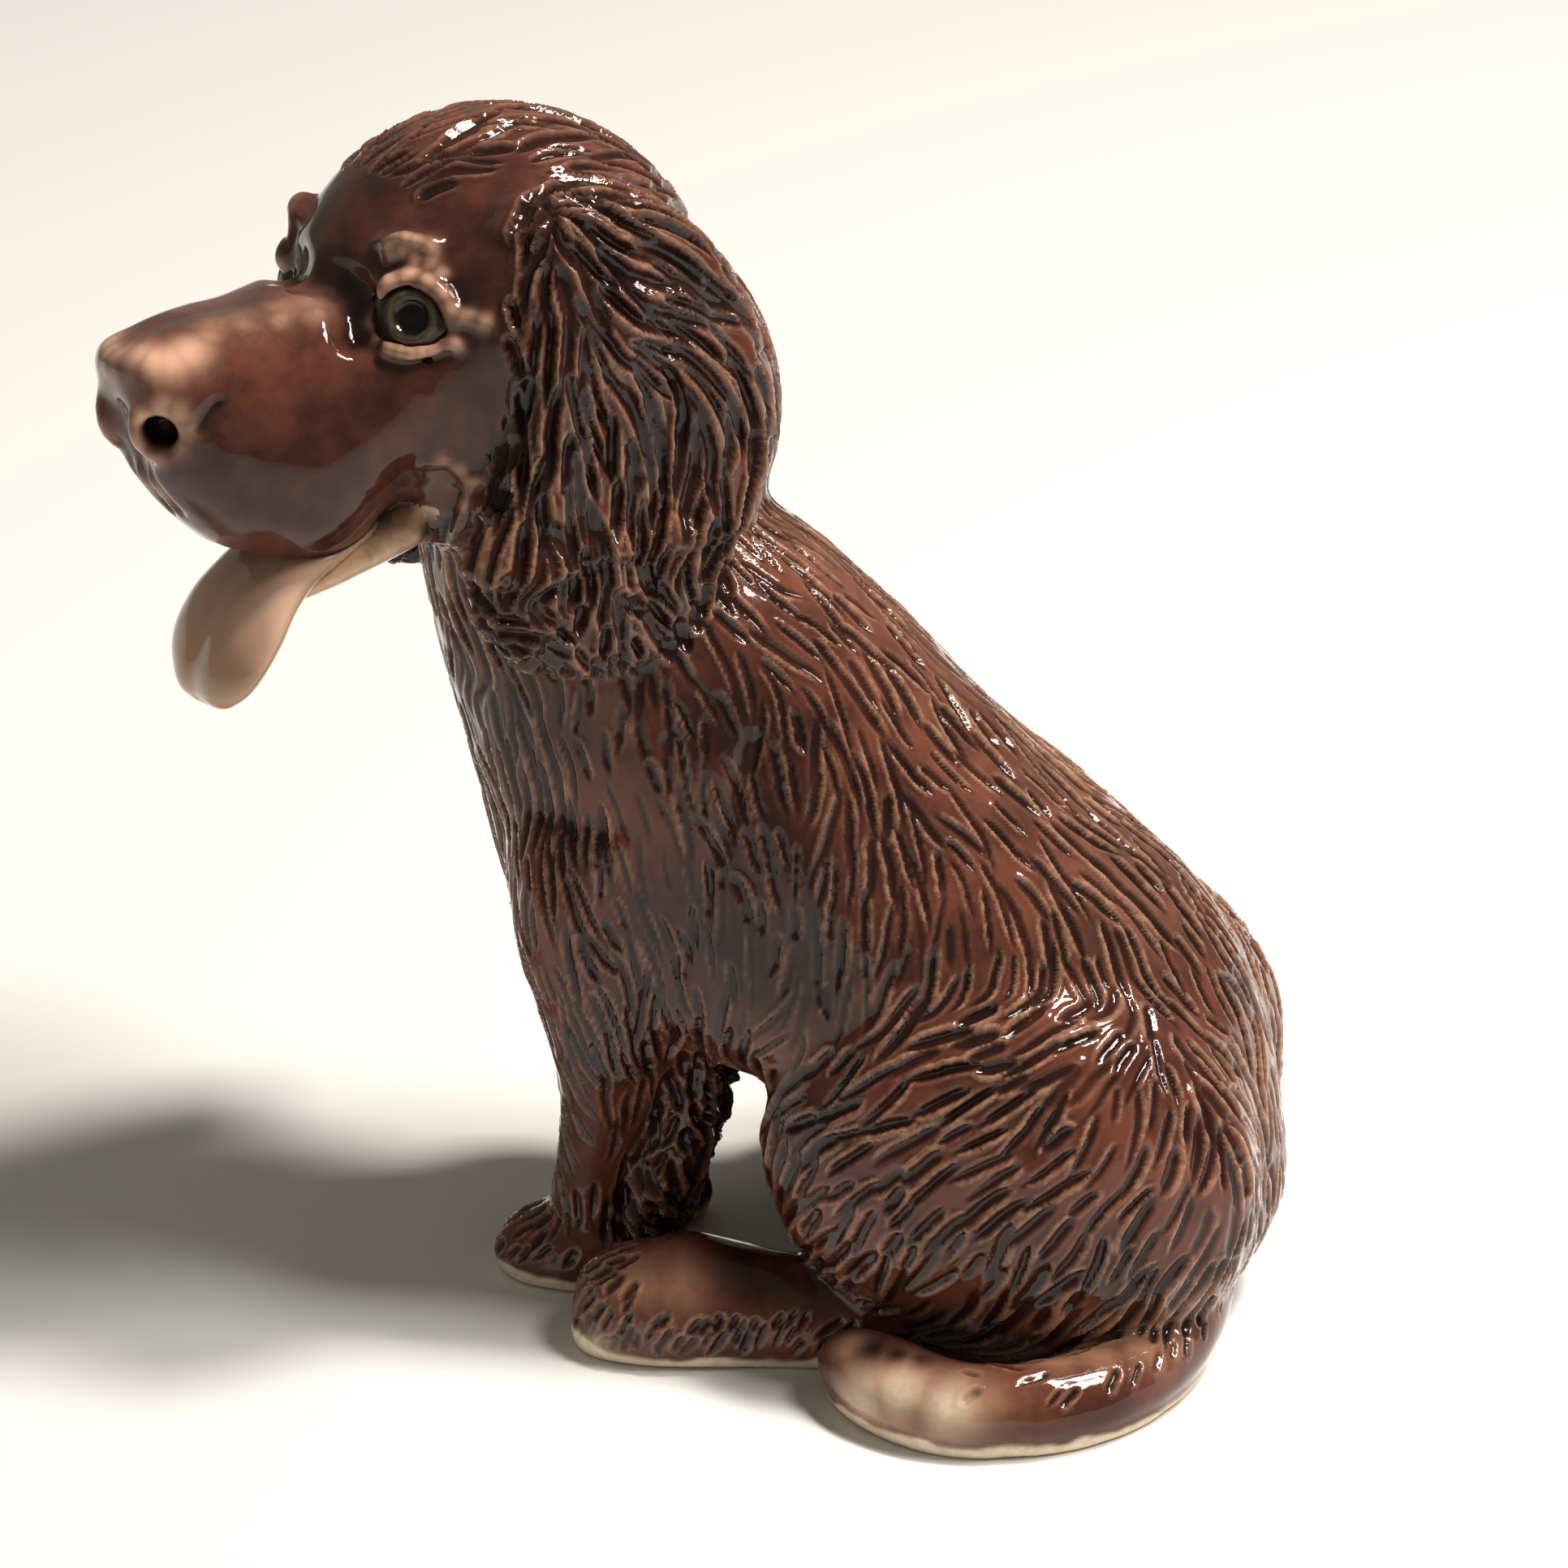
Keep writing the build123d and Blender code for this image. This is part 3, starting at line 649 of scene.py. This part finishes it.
# Strokes: width, length and depth in mm, and the gap to the next as a share of the width
PLAIN_STROKE = (1.35, 11.0, 0.42, 1.0)
SURFACE_STROKES = (
    (on_torso, (1.35, 11.0, 0.42, 1.2)),
    (on_head_ball, (1.6, 11.0, 0.6, 1.0)),
    (on_haunch, (1.75, 9.5, 0.6, 1.05)),
    (on_ear, (1.9, 13.0, 0.95, 0.8)),
    (on_ear & (drop < -20), (1.9, 7.0, 0.95, 0.8)),
    (on_feather, (1.9, 5.5, 0.95, 0.8)),
    (on_hind_foot, (1.35, 4.0, 0.42, 0.75)),
    (on_paw, (1.35, 4.0, 0.42, 1.0)),
    (on_tail, (1.35, 4.5, 0.3, 1.0)),
)
strokes = np.tile(PLAIN_STROKE, (len(points), 1))
for surface, stroke in SURFACE_STROKES:
    strokes[surface] = stroke
stroke_width, stroke_length, stroke_depth, stroke_gap = strokes.T.copy()

# How far each surface is tooled
tooled = np.ones(len(points))
tooled[on_face] = 0
hairline = 19.5 + 2.5 * lumps(points, 7.0, 15)
tooled[on_head_ball] = np.maximum(
    smoothstep(hairline, hairline + 2, above_head + 0.05 * ahead_of_head), smoothstep(2, -3, ahead_of_head)
)[on_head_ball]
tooled[on_haunch] *= 1 - 0.45 * smoothstep(0.1, 0.6, lumps(points, 9.0, 16))[on_haunch]
outside = np.abs(points[:, 0]) > 13
tooled[on_foreleg] = np.where(height > 34, 1, np.where(outside, 0.1, 0.5))[on_foreleg]
foot_tooled = np.maximum(smoothstep(8.5, 6, height), smoothstep(-45, -49, points[:, 1]))
tooled[on_hind_foot] = foot_tooled[on_hind_foot]
tooled[on_tail] = (0.06 * smoothstep(4.5, 7, height) * smoothstep(-12, -4, points[:, 1]))[on_tail]
tooled[height < 2.2] = 0
tooled[normals[:, 2] < -0.75] *= 0.3
filled = smoothstep(0.0, 0.6, lumps(points, 11.0, 17)) * (on_torso | on_haunch | on_foreleg)
stroke_depth *= 1 - 0.55 * filled


STROKE_TRIES, STROKE_STEP, FEWEST_STEPS = 90000, 0.35, 8


def crowded(taken, key, p, t, across, along):
    """Whether an earlier stroke was started too near a place."""
    for shift in np.ndindex(5, 5, 5):
        for q in taken.get((key[0] + shift[0] - 2, key[1] + shift[1] - 2, key[2] + shift[2] - 2), ()):
            away = q - p
            ahead = away @ t
            aside2 = away @ away - ahead * ahead
            if (ahead / along) ** 2 + aside2 / across**2 < 1:
                return True
    return False


def tool_strokes():
    """Seeded strokes along the fur, as points with the width and depth of the tool there."""
    tree = KDTree(len(points))
    for i, p in enumerate(points):
        tree.insert(p, i)
    tree.balance()
    cell_size = 2.5
    taken = {}
    samples, sides, widths, depths = [], [], [], []
    for i in rng.permutation(len(points))[:STROKE_TRIES]:
        if rng.random() > tooled[i]:
            continue
        p, t, n = points[i], flow[i], normals[i]
        across, along = stroke_width[i] * stroke_gap[i], stroke_length[i] * 0.58
        key = tuple(np.floor(p / cell_size).astype(int))
        if crowded(taken, key, p, t, across, along):
            continue
        taken.setdefault(key, []).append(p)
        length = stroke_length[i] * rng.uniform(0.55, 1.4)
        width = stroke_width[i] * rng.uniform(0.7, 1.25)
        bend = rng.uniform(-0.3, 0.3)
        depth = stroke_depth[i] * rng.uniform(0.75, 1.2)
        line = [p]
        for direction in (1, -1):
            at, last = p, direction * t
            for _ in range(int(length / 2 / STROKE_STEP)):
                _, j, _ = tree.find(at + last * STROKE_STEP)
                step = unit(flow[j] + bend * np.cross(normals[j], flow[j]))
                step = step * (1 if step @ last > 0 else -1)
                last = unit(0.6 * last + 0.4 * step)
                at = at + last * STROKE_STEP
                at = at + normals[j] * ((points[j] - at) @ normals[j])
                if tooled[j] < 0.05:
                    break
                line = line + [at] if direction == 1 else [at] + line
        if len(line) < FEWEST_STEPS:
            continue
        share = np.linspace(0, 1, len(line))
        taper = np.minimum(smoothstep(0, 0.25, share), smoothstep(1, 0.6, share))
        samples.extend(line)
        sides.extend(np.cross(n, np.gradient(np.array(line), axis=0)) * rng.choice((-1, 1)))
        widths.extend(width * (0.55 + 0.45 * taper))
        depths.extend(depth * taper)
    return tree, np.array(samples), np.array(sides), np.array(widths), np.array(depths)


def pressed(tree, samples, sides, widths, depths):
    """How far the tool presses the skin in at each point, and how far it pushes up a lip on one side."""
    who, near, size = [], [], []
    for sample, width in zip(samples, widths):
        found = tree.find_range(sample, width)
        who.extend(j for _, j, _ in found)
        near.extend(d for _, _, d in found)
        size.append(len(found))
    stroke = np.repeat(np.arange(len(samples)), size)
    who = np.array(who)
    away = np.array(near) / widths[stroke]
    dent = np.zeros(len(points))
    np.maximum.at(dent, who, depths[stroke] * (1 - smoothstep(0.08, 0.56, away)))
    beside = np.einsum("ij,ij->i", points[who] - samples[stroke], sides[stroke]) > 0
    edge = smoothstep(0.35, 0.6, away) * (1 - smoothstep(0.6, 0.95, away)) * np.where(beside, 1.0, 0.25)
    lip = np.zeros(len(points))
    np.maximum.at(lip, who, depths[stroke] * edge)
    return dent, lip * (1 - smoothstep(0.04, 0.22, dent))


points = points + normals * (0.28 * lumps(points, 9.0, 11) + 0.10 * lumps(points, 3.5, 12))[:, None]
step_line = -19.5 + 1.2 * lumps(points, 6.0, 14)
ear_step = 0.9 * smoothstep(step_line - 0.4, step_line + 0.6, drop) * smoothstep(8, -16, drop)
ear_step = np.where(on_ear, ear_step, 0)
points = points + normals * ear_step[:, None]
dent, lip = np.zeros(len(points)), np.zeros(len(points))
dent, lip = pressed(*tool_strokes())
points = points + normals * (0.5 * lip - dent)[:, None]

points[:, 2] = np.maximum(points[:, 2], 0.0)
normals = point_normals(points)


# How the glaze lies: thick in hollows, thin on ridges and where it was wiped, bare under the feet; painted
# shade and painted light ride along with the thick and thin places
def spread_places(places):
    """Strength at each point of the skin from places in the view, on both sides of the dog."""
    total = np.zeros(len(points))
    for pixels, reach, strength in places.values():
        spots = seen(pixels, clay)
        beside_head = np.linalg.norm(spots[0] - head_middle) < 52
        mirrored = other_side_of_head(spots) if beside_head else other_side_of_body(spots)
        for middle in np.concatenate([spots, mirrored]):
            away = ((points - middle) ** 2).sum(1) / (reach * reach)
            total = np.maximum(total, strength * np.exp(-away))
    return total


raised = np.einsum("ij,ij->i", points - evened(points, 5), normals)
broad = np.einsum("ij,ij->i", points - evened(points, 60), normals)
# The thick and thin places also carry painted shade and painted light
thick_and_shade = spread_places(THICK_AND_SHADE_PLACES)
thin_and_lit = np.clip(spread_places(THIN_AND_LIT_PLACES) + 0.15 * smoothstep(0.3, 0.9, broad), 0, 1)
pool_and_shade = dent / 0.5 + np.clip(-raised / 0.10, 0, 1) * 0.5 + np.clip(-broad / 0.5, 0, 1) * 0.6
pool_and_shade = np.clip(pool_and_shade * (1 - 0.9 * thin_and_lit) + thick_and_shade + 0.32 * on_ear, 0, 1)
curved = smoothstep(0.03, 0.11, raised) * (1 - 0.8 * np.clip(dent / 0.3, 0, 1))
on_body = on_torso | on_haunch
ridge = curved * np.where(on_body, 0.2, 0.45)
ridge = np.maximum(ridge, 0.65 * on_body * smoothstep(0.14, 0.36, lip)) * (1 - 0.7 * thick_and_shade)
foot_line = 1.5 + 1.1 * lumps(points, 6.0, 21) + 0.6 * lumps(points, 2.0, 22)
foot_line = foot_line + 1.6 * on_hind_foot * smoothstep(-47, -53, points[:, 1])
wiped = (1 - smoothstep(foot_line, foot_line + 0.9, height)) * (on_paw | on_hind_foot | on_tail)
wiped = np.maximum(wiped, spread_places(WIPED_PLACES) * (1 - thick_and_shade) * (on_tail | on_face | on_hind_foot))
wiped = np.maximum(wiped, height < 0.35)
glaze_and_painted_light = {"pool_and_shade": pool_and_shade, "ridge": ridge, "wiped": wiped, "thin_and_lit": thin_and_lit}


# Materials
def node(tree, kind, **values):
    """Node with its properties or named inputs set."""
    made = tree.nodes.new(kind)
    for key, value in values.items():
        if key in made.inputs:
            made.inputs[key].default_value = value
        else:
            setattr(made, key, value)
    return made


def feed(tree, socket, value):
    """Links an input to another node's socket, or sets it to a colour or number."""
    if isinstance(value, bpy.types.NodeSocket):
        tree.links.new(value, socket)
    elif isinstance(value, tuple):
        socket.default_value = (*value, 1)
    else:
        socket.default_value = value


def mix(tree, factor, first, second):
    """Colour mix of two sockets or colours by a factor socket or value."""
    made = tree.nodes.new("ShaderNodeMix")
    made.data_type = "RGBA"
    for index, value in ((0, factor), (6, first), (7, second)):
        feed(tree, made.inputs[index], value)
    return made.outputs[2]


def maths(tree, operation, first, second=0.5, clamp=False):
    """Arithmetic on two sockets or values."""
    made = tree.nodes.new("ShaderNodeMath")
    made.operation = operation
    made.use_clamp = clamp
    for socket, value in zip(made.inputs, (first, second)):
        feed(tree, socket, value)
    return made.outputs[0]


def remapped(tree, value, low, high, new_low=0.0, new_high=1.0):
    """Value taken smoothly from one range to another."""
    made = node(tree, "ShaderNodeMapRange", interpolation_type="SMOOTHSTEP")
    tree.links.new(value, made.inputs["Value"])
    for label, number in (("From Min", low), ("From Max", high), ("To Min", new_low), ("To Max", new_high)):
        made.inputs[label].default_value = number
    return made.outputs["Result"]


def mottle_group():
    """Uneven patches at two sizes, and small pits, of a hand-applied glaze."""
    group = bpy.data.node_groups.new("glaze_mottle", "ShaderNodeTree")
    group.interface.new_socket("Patch Scale", in_out="INPUT", socket_type="NodeSocketFloat")
    for label in ("Patches", "Flecks", "Pits"):
        group.interface.new_socket(label, in_out="OUTPUT", socket_type="NodeSocketFloat")
    start, end = node(group, "NodeGroupInput"), node(group, "NodeGroupOutput")
    where = node(group, "ShaderNodeTexCoord")
    patches = node(group, "ShaderNodeTexNoise", Detail=5.0, Roughness=0.62)
    flecks = node(group, "ShaderNodeTexNoise", Scale=900.0, Detail=3.0, Roughness=0.6)
    pits = node(group, "ShaderNodeTexNoise", Scale=420.0, Detail=2.0)
    for texture, low, high, label in (
        (patches, 0.3, 0.7, "Patches"), (flecks, 0.35, 0.7, "Flecks"), (pits, 0.2, 0.8, "Pits")
    ):
        group.links.new(where.outputs["Object"], texture.inputs["Vector"])
        group.links.new(remapped(group, texture.outputs[0], low, high), end.inputs[label])
    group.links.new(start.outputs["Patch Scale"], patches.inputs["Scale"])
    return group


MOTTLE = mottle_group()


def lying(tree, name):
    """Socket with how the glaze lies, with its painted shade and painted light, stored on the skin."""
    made = node(tree, "ShaderNodeAttribute", attribute_name=name)
    return made.outputs["Fac"]


def varied(tree, value, spots, least, most):
    """Value made uneven by spots of the mottle, from its least share to its most."""
    return maths(tree, "MULTIPLY", value, remapped(tree, spots, 0.0, 1.0, least, most), clamp=True)


CLAY_BODY = (0.88, 0.74, 0.56)


def glaze_material(name, deep_and_shade, body, thin_and_lit, patch_scale, breaking, clay_body=CLAY_BODY):
    """Glossy brown glaze, dark where it pools and tan where it breaks, over a pale clay body, with painted
    shade and painted light laid in through the same values.
    """
    material = bpy.data.materials.new(name)
    material.use_nodes = True
    tree = material.node_tree
    shader = tree.nodes["Principled BSDF"]
    mottle = node(tree, "ShaderNodeGroup", node_tree=MOTTLE)
    mottle.inputs["Patch Scale"].default_value = patch_scale
    patches, flecks, pits = mottle.outputs
    # Pooling and thin glaze as stored, with their painted shade and painted light
    pooled_and_shaded, broken, bare, thin_and_lit_share = (lying(tree, label) for label in ("pool_and_shade", "ridge", "wiped", "thin_and_lit"))
    shade = tuple(0.3 * b + 0.7 * d for b, d in zip(body, deep_and_shade))
    colour = mix(tree, patches, shade, body)
    colour = mix(tree, varied(tree, thin_and_lit_share, patches, 0.7, 1.1), colour, thin_and_lit)
    colour = mix(tree, varied(tree, pooled_and_shaded, patches, 1.0, 0.8), colour, deep_and_shade)
    broken_here = varied(tree, broken, flecks, 0.45, 1.0)
    colour = mix(tree, maths(tree, "MULTIPLY", broken_here, breaking), colour, thin_and_lit)
    pale = mix(tree, flecks, clay_body, tuple(c * 0.82 for c in clay_body))
    colour = mix(tree, bare, colour, pale)
    tree.links.new(colour, shader.inputs["Base Color"])
    tree.links.new(remapped(tree, bare, 0.3, 0.9, 0.10, 0.55), shader.inputs["Roughness"])
    coat = maths(tree, "SUBTRACT", 1.0, bare, clamp=True)
    tree.links.new(coat, shader.inputs["Coat Weight"])
    for label, value in (("Coat Roughness", 0.03), ("Coat IOR", 1.37), ("Specular IOR Level", 0.05)):
        shader.inputs[label].default_value = value
    bump = node(tree, "ShaderNodeBump", Strength=0.05, Distance=0.0005)
    tree.links.new(pits, bump.inputs["Height"])
    tree.links.new(bump.outputs["Normal"], shader.inputs["Normal"])
    return material


# Colours where the glaze pools, also used for painted shade, of its body, and where it is thin, also used for
# painted light, the scale of its patches, how far it breaks on ridges, and the clay where that isn't the
# usual one
GLAZES = {
    "brown_fur_glaze": ((0.016, 0.006, 0.005), (0.170, 0.052, 0.031), (0.56, 0.32, 0.20), 110.0, 0.85),
    "brown_face_glaze": ((0.018, 0.007, 0.006), (0.150, 0.048, 0.030), (0.70, 0.40, 0.27), 150.0, 0.45),
    "cream_lip_glaze": ((0.04, 0.016, 0.010), (0.84, 0.55, 0.35), (0.90, 0.72, 0.52), 200.0, 0.5),
    "pink_tongue_glaze": ((0.46, 0.26, 0.15), (0.50, 0.28, 0.18), (0.50, 0.34, 0.25), 160.0, 0.5),
    "dark_eye_glaze": ((0.004, 0.003, 0.003), (0.036, 0.020, 0.012), (0.090, 0.072, 0.042), 400.0, 0.8),
    "bare_clay": ((0.50, 0.40, 0.28), (0.74, 0.62, 0.46), (0.86, 0.72, 0.54), 90.0, 0.5, (0.84, 0.70, 0.52)),
}
BROWN, FACE, CREAM, TONGUE, EYE, BARE = (glaze_material(name, *values) for name, values in GLAZES.items())


# Pieces
def placed(name, data):
    """Object made from a mesh, lamp or camera and put in the scene."""
    made = bpy.data.objects.new(name, data)
    bpy.context.scene.collection.objects.link(made)
    return made


def closed_mesh(name, points, faces, values, material, normals=None):
    """Object from points and faces, with how the glaze lies, and its painted shade and painted light, stored
    at each point.
    """
    mesh = bpy.data.meshes.new(name)
    mesh.from_pydata(points * MM, [], faces)
    for label, numbers in values.items():
        mesh.attributes.new(label, "FLOAT", "POINT").data.foreach_set("value", numbers.astype(np.float32))
    mesh.materials.append(material)
    mesh.shade_smooth()
    mesh.update()
    if normals is not None:
        mesh.normals_split_custom_set_from_vertices(normals)
    piece = placed(name, mesh)
    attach(piece, "root")
    return piece


def rim_loops(faces, beyond):
    """Open rims of a patch of quads, as loops of (point, neighbouring piece) in rim order."""
    sides = np.concatenate([faces[:, (a, (a + 1) % 4)] for a in range(4)])
    count = faces.max() + 1
    key, back = sides[:, 0] * count + sides[:, 1], sides[:, 1] * count + sides[:, 0]
    rim = sides[~np.isin(key, back)]
    after = {}
    for (a, b), piece in zip(rim.tolist(), beyond(rim).tolist()):
        after.setdefault(a, []).append((b, piece))
    loops = []
    while after:
        first = at = next(iter(after))
        loop = []
        while at in after:
            ways = after[at]
            following, piece = ways.pop()
            if not ways:
                del after[at]
            loop.append((at, piece))
            at = following
            if at == first:
                break
        loops.append(loop)
    return loops


# Depths in mm tried for closing a piece inside the clay: of its rim, and of the middle below that rim
RIM_DEPTHS = (0.4, 0.9, 1.5, 2.2, 3.0)
CAP_DEPTHS = (0.0, 0.6, 1.5, 3.0, 5.0, 8.0, 12.0)
LID_CAP_DEPTHS = (0.0, 1.5, 2.2, 3.0, 4.0)


def sunk_rim(rim):
    """Rim points moved straight into the clay, as deep as it goes there, below the tool strokes."""
    inward = -outward(rim, solid)
    tries = np.stack([rim + inward * depth for depth in RIM_DEPTHS])
    buried = np.stack([sampled(solid, places) for places in tries])
    return tries[buried.argmin(0), np.arange(len(rim))]


def cap_middle(run, facing, depths):
    """Place inside the clay from which a run of rim points is closed off."""
    tries = [run.mean(0) - unit(facing.mean(0)) * depth for depth in depths]
    shallowest = []
    for middle in tries:
        spokes = np.concatenate([run + (middle - run) * share for share in (0.2, 0.45, 0.75, 1.0)])
        shallowest.append(sampled(solid, spokes).max())
    return tries[np.argmin(shallowest)]


side_key = np.concatenate([quads[:, a] * len(points) + quads[:, (a + 1) % 4] for a in range(4)])
side_order = np.argsort(side_key)


def skin_piece(label, name, material):
    """One closed piece of the skin, capped inside where it meets its neighbours."""
    depths = LID_CAP_DEPTHS if "lid" in name else CAP_DEPTHS
    chosen = quads[face_piece == PIECE_NAMES.index(name)]
    used, faces = np.unique(chosen, return_inverse=True)
    faces = faces.reshape(-1, 4)

    def beyond(rim):
        key = used[rim[:, 1]] * len(points) + used[rim[:, 0]]
        found = side_order[np.searchsorted(side_key, key, sorter=side_order)]
        return face_piece[found % len(quads)]

    where, facing = list(points[used]), list(normals[used])
    all_faces = faces.tolist()
    for loop in rim_loops(faces, beyond):
        turn = next((k for k in range(len(loop)) if loop[k][1] != loop[k - 1][1]), 0)
        loop = loop[turn:] + loop[:turn]
        rim = [point for point, _ in loop]
        first = len(where)
        where.extend(sunk_rim(np.array([where[v] for v in rim])))
        facing.extend([facing[v] for v in rim])
        sunk = [first + k for k in range(len(rim))]
        all_faces += [(rim[k], rim[k - 1], sunk[k - 1], sunk[k]) for k in range(len(rim))]
        loop = [(sunk[k], piece) for k, (_, piece) in enumerate(loop)]
        runs = []
        for k, (_, piece) in enumerate(loop):
            if k == 0 or piece != loop[k - 1][1]:
                runs.append([])
            runs[-1].append(k)
        middles = []
        for run in runs:
            rim = [loop[k][0] for k in run] + [loop[(run[-1] + 1) % len(loop)][0]]
            rim_points, rim_facing = np.array([where[v] for v in rim]), np.array([facing[v] for v in rim])
            where.append(cap_middle(rim_points, rim_facing, depths))
            facing.append(-unit(rim_facing.mean(0)))
            middles.append(len(where) - 1)
            all_faces += [(b, a, middles[-1]) for a, b in zip(rim[:-1], rim[1:])]
        if len(runs) > 1:
            for r, run in enumerate(runs):
                corner = loop[(run[-1] + 1) % len(loop)][0]
                all_faces.append((corner, middles[r], middles[(r + 1) % len(runs)]))
        if len(runs) > 2:
            all_faces.append(tuple(reversed(middles)))
    extra = len(where) - len(used)
    values = {key: np.append(numbers[used], np.zeros(extra)) for key, numbers in glaze_and_painted_light.items()}
    piece = closed_mesh(label, np.array(where), all_faces, values, material, np.array(facing))
    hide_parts(name)


votes = piece_of[quads]
face_piece = np.where((votes[:, 1] == votes[:, 2]) | (votes[:, 1] == votes[:, 3]), votes[:, 1], votes[:, 0])
face_names = nodes_of("head", "muzzle", "nose", "brow", "upper_lid", "lower_lid")
for name in PIECE_NAMES:
    if not (face_piece == PIECE_NAMES.index(name)).any():
        continue
    material, slot = BROWN, "brown_glaze"
    if name in face_names:
        material = FACE
    if name == "lower_jaw":
        material, slot = CREAM, "cream_glaze"
    skin_piece("glazed_" + name, name, material)


def separate_skin(name, voxel, rounds):
    """Points, quads and normals of one CAD piece, evened; its quads and edges replace the skin's."""
    global quads, edges, degree
    source, corners = node_triangles(name)
    source = source * VOXEL / voxel
    made, faces = level_set(source.astype(np.float32), corners, 3).convertToQuads(0.0)
    made, quads = made.astype(float) * voxel + grid_low, faces.astype(int)
    if np.einsum("ij,ij->", quad_normals(made), made[quads].mean(1) - made.mean(0)) < 0:
        quads = quads[:, ::-1].copy()
    edges, degree = skin_edges(quads, len(made))
    made = evened(made, rounds)
    return made, quads, point_normals(made)


# Tongue, with a shallow channel down its middle, painted shade on its far side and painted light on its near
# side
tongue_points, tongue_quads, tongue_normals = separate_skin("tongue", 0.35, 6)
aside = on_head(tongue_points)[0]
top_side = smoothstep(-0.2, 0.5, tongue_normals @ (head_up * 0.4 + head_ahead * 0.9))
channel = np.exp(-((aside / 3.0) ** 2)) * top_side
hollow = 0.45 * channel + 0.15 * lumps(tongue_points, 4.0, 31)
tongue_points = tongue_points - tongue_normals * hollow[:, None]
tongue = closed_mesh(
    "glazed_tongue",
    tongue_points,
    tongue_quads.tolist(),
    {
        # Painted shade on the far side of the tongue, with uneven lumps
        "pool_and_shade": np.clip(0.4 * smoothstep(1, -7, aside) + 0.4 * lumps(tongue_points, 5.0, 32), 0, 1),
        "ridge": np.clip(0.6 * lumps(tongue_points, 4.0, 33) + 0.3, 0, 1),
        "wiped": np.zeros(len(tongue_points)),
        # Painted light on the near side of the tongue
        "thin_and_lit": 0.5 * smoothstep(-2, 7, aside),
    },
    TONGUE,
    point_normals(tongue_points),
)
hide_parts("tongue")


# Eyes, a ball with a dished pupil inside a paler ring
def eyeball(name, middle, outlook):
    """Ball turned about the direction it looks in."""
    across = unit(np.cross(outlook, (0, 0, 1)))
    upward = np.cross(across, outlook)
    rings, turns = 72, 96
    angle = np.linspace(0, np.pi, rings)
    dish = smoothstep(0.42, 0.30, angle)
    ring = smoothstep(0.35, 0.41, angle) * (1 - smoothstep(0.47, 0.58, angle))
    reach = EYE_RADIUS - PUPIL_DEPTH * dish + 0.12 * ring
    turn = np.linspace(0, 2 * np.pi, turns, endpoint=False)
    where, pool_here, ridge_here = [middle + outlook * reach[0]], [1.0], [0.0]
    for k in range(1, rings - 1):
        side = np.outer(np.cos(turn), across) + np.outer(np.sin(turn), upward)
        where.extend(middle + reach[k] * (math.cos(angle[k]) * outlook + math.sin(angle[k]) * side))
        pool_here.extend([dish[k]] * turns)
        ridge_here.extend([ring[k]] * turns)
    where.append(middle - outlook * EYE_RADIUS)
    pool_here.append(0.0)
    ridge_here.append(0.0)
    faces = [(0, 1 + (j + 1) % turns, 1 + j) for j in range(turns)]
    for k in range(rings - 3):
        a, b = 1 + k * turns, 1 + (k + 1) * turns
        faces += [(a + j, a + (j + 1) % turns, b + (j + 1) % turns, b + j) for j in range(turns)]
    last, a = len(where) - 1, 1 + (rings - 3) * turns
    faces += [(a + j, a + (j + 1) % turns, last) for j in range(turns)]
    where = np.array(where)
    values = {"pool_and_shade": np.array(pool_here), "ridge": np.array(ridge_here)}
    values["wiped"] = values["thin_and_lit"] = np.zeros(len(where))
    faces = [face[::-1] for face in faces]
    ball = closed_mesh("glazed_" + name, where, faces, values, EYE)
    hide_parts(name)


for name, middle in (("left_eyeball", left_eye), ("right_eyeball", right_eye)):
    side = 1 if name == "left_eyeball" else -1
    eyeball(name, middle, unit(unit(middle - head_middle) + 0.06 * side * head_left - 0.1 * head_ahead))

# Seat slab, the CAD piece in bare clay
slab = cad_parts["seat_slab"]
slab.data.materials.clear()
slab.data.materials.append(BARE)


# Stage: a plain pale floor, two softboxes and an even sky
pale_floor = bpy.data.materials.new("pale_floor")
pale_floor.use_nodes = True
floor_shader = pale_floor.node_tree.nodes["Principled BSDF"]
floor_shader.inputs["Base Color"].default_value = (0.86, 0.85, 0.83, 1)
floor_shader.inputs["Roughness"].default_value = 0.6
floor_mesh = bpy.data.meshes.new("floor")
floor_mesh.from_pydata([(-1, -1, 0), (1, -1, 0), (1, 1, 0), (-1, 1, 0)], [], [(0, 1, 2, 3)])
floor_mesh.materials.append(pale_floor)
floor = placed("floor", floor_mesh)


def softbox(name, toward, distance, size, power, colour=(1, 1, 1)):
    """Square lamp in a direction from the figure, facing it."""
    lamp = bpy.data.lights.new(name, "AREA")
    lamp.shape, lamp.size, lamp.energy, lamp.color = "SQUARE", size, power, colour
    holder = placed(name, lamp)
    aim = Vector((0, -0.02, 0.06))
    direction = Vector(toward).normalized()
    holder.location = aim + direction * distance
    holder.rotation_euler = (-direction).to_track_quat("-Z", "Y").to_euler()


softbox("key", (-0.08, 0.36, 0.93), 1.2, 0.16, 14, (1.0, 0.94, 0.86))
softbox("window", (0.07, 0.55, 0.83), 1.2, 0.30, 9, (1.0, 0.98, 0.95))
world = bpy.data.worlds.new("studio")
world.use_nodes = True
background = world.node_tree.nodes["Background"]
background.inputs["Color"].default_value = (0.74, 0.71, 0.62, 1)
background.inputs["Strength"].default_value = 0.24
bpy.context.scene.world = world
bpy.context.scene.view_settings.view_transform = "Standard"

# Camera
view = bpy.data.cameras.new("view")
view.sensor_width = SENSOR
view.lens = LENS
view.clip_start = 0.01
camera = placed("view", view)
camera.location = Vector(view_point * MM)
camera.rotation_euler = Vector(-view_back).to_track_quat("-Z", "Y").to_euler()
bpy.context.scene.camera = camera
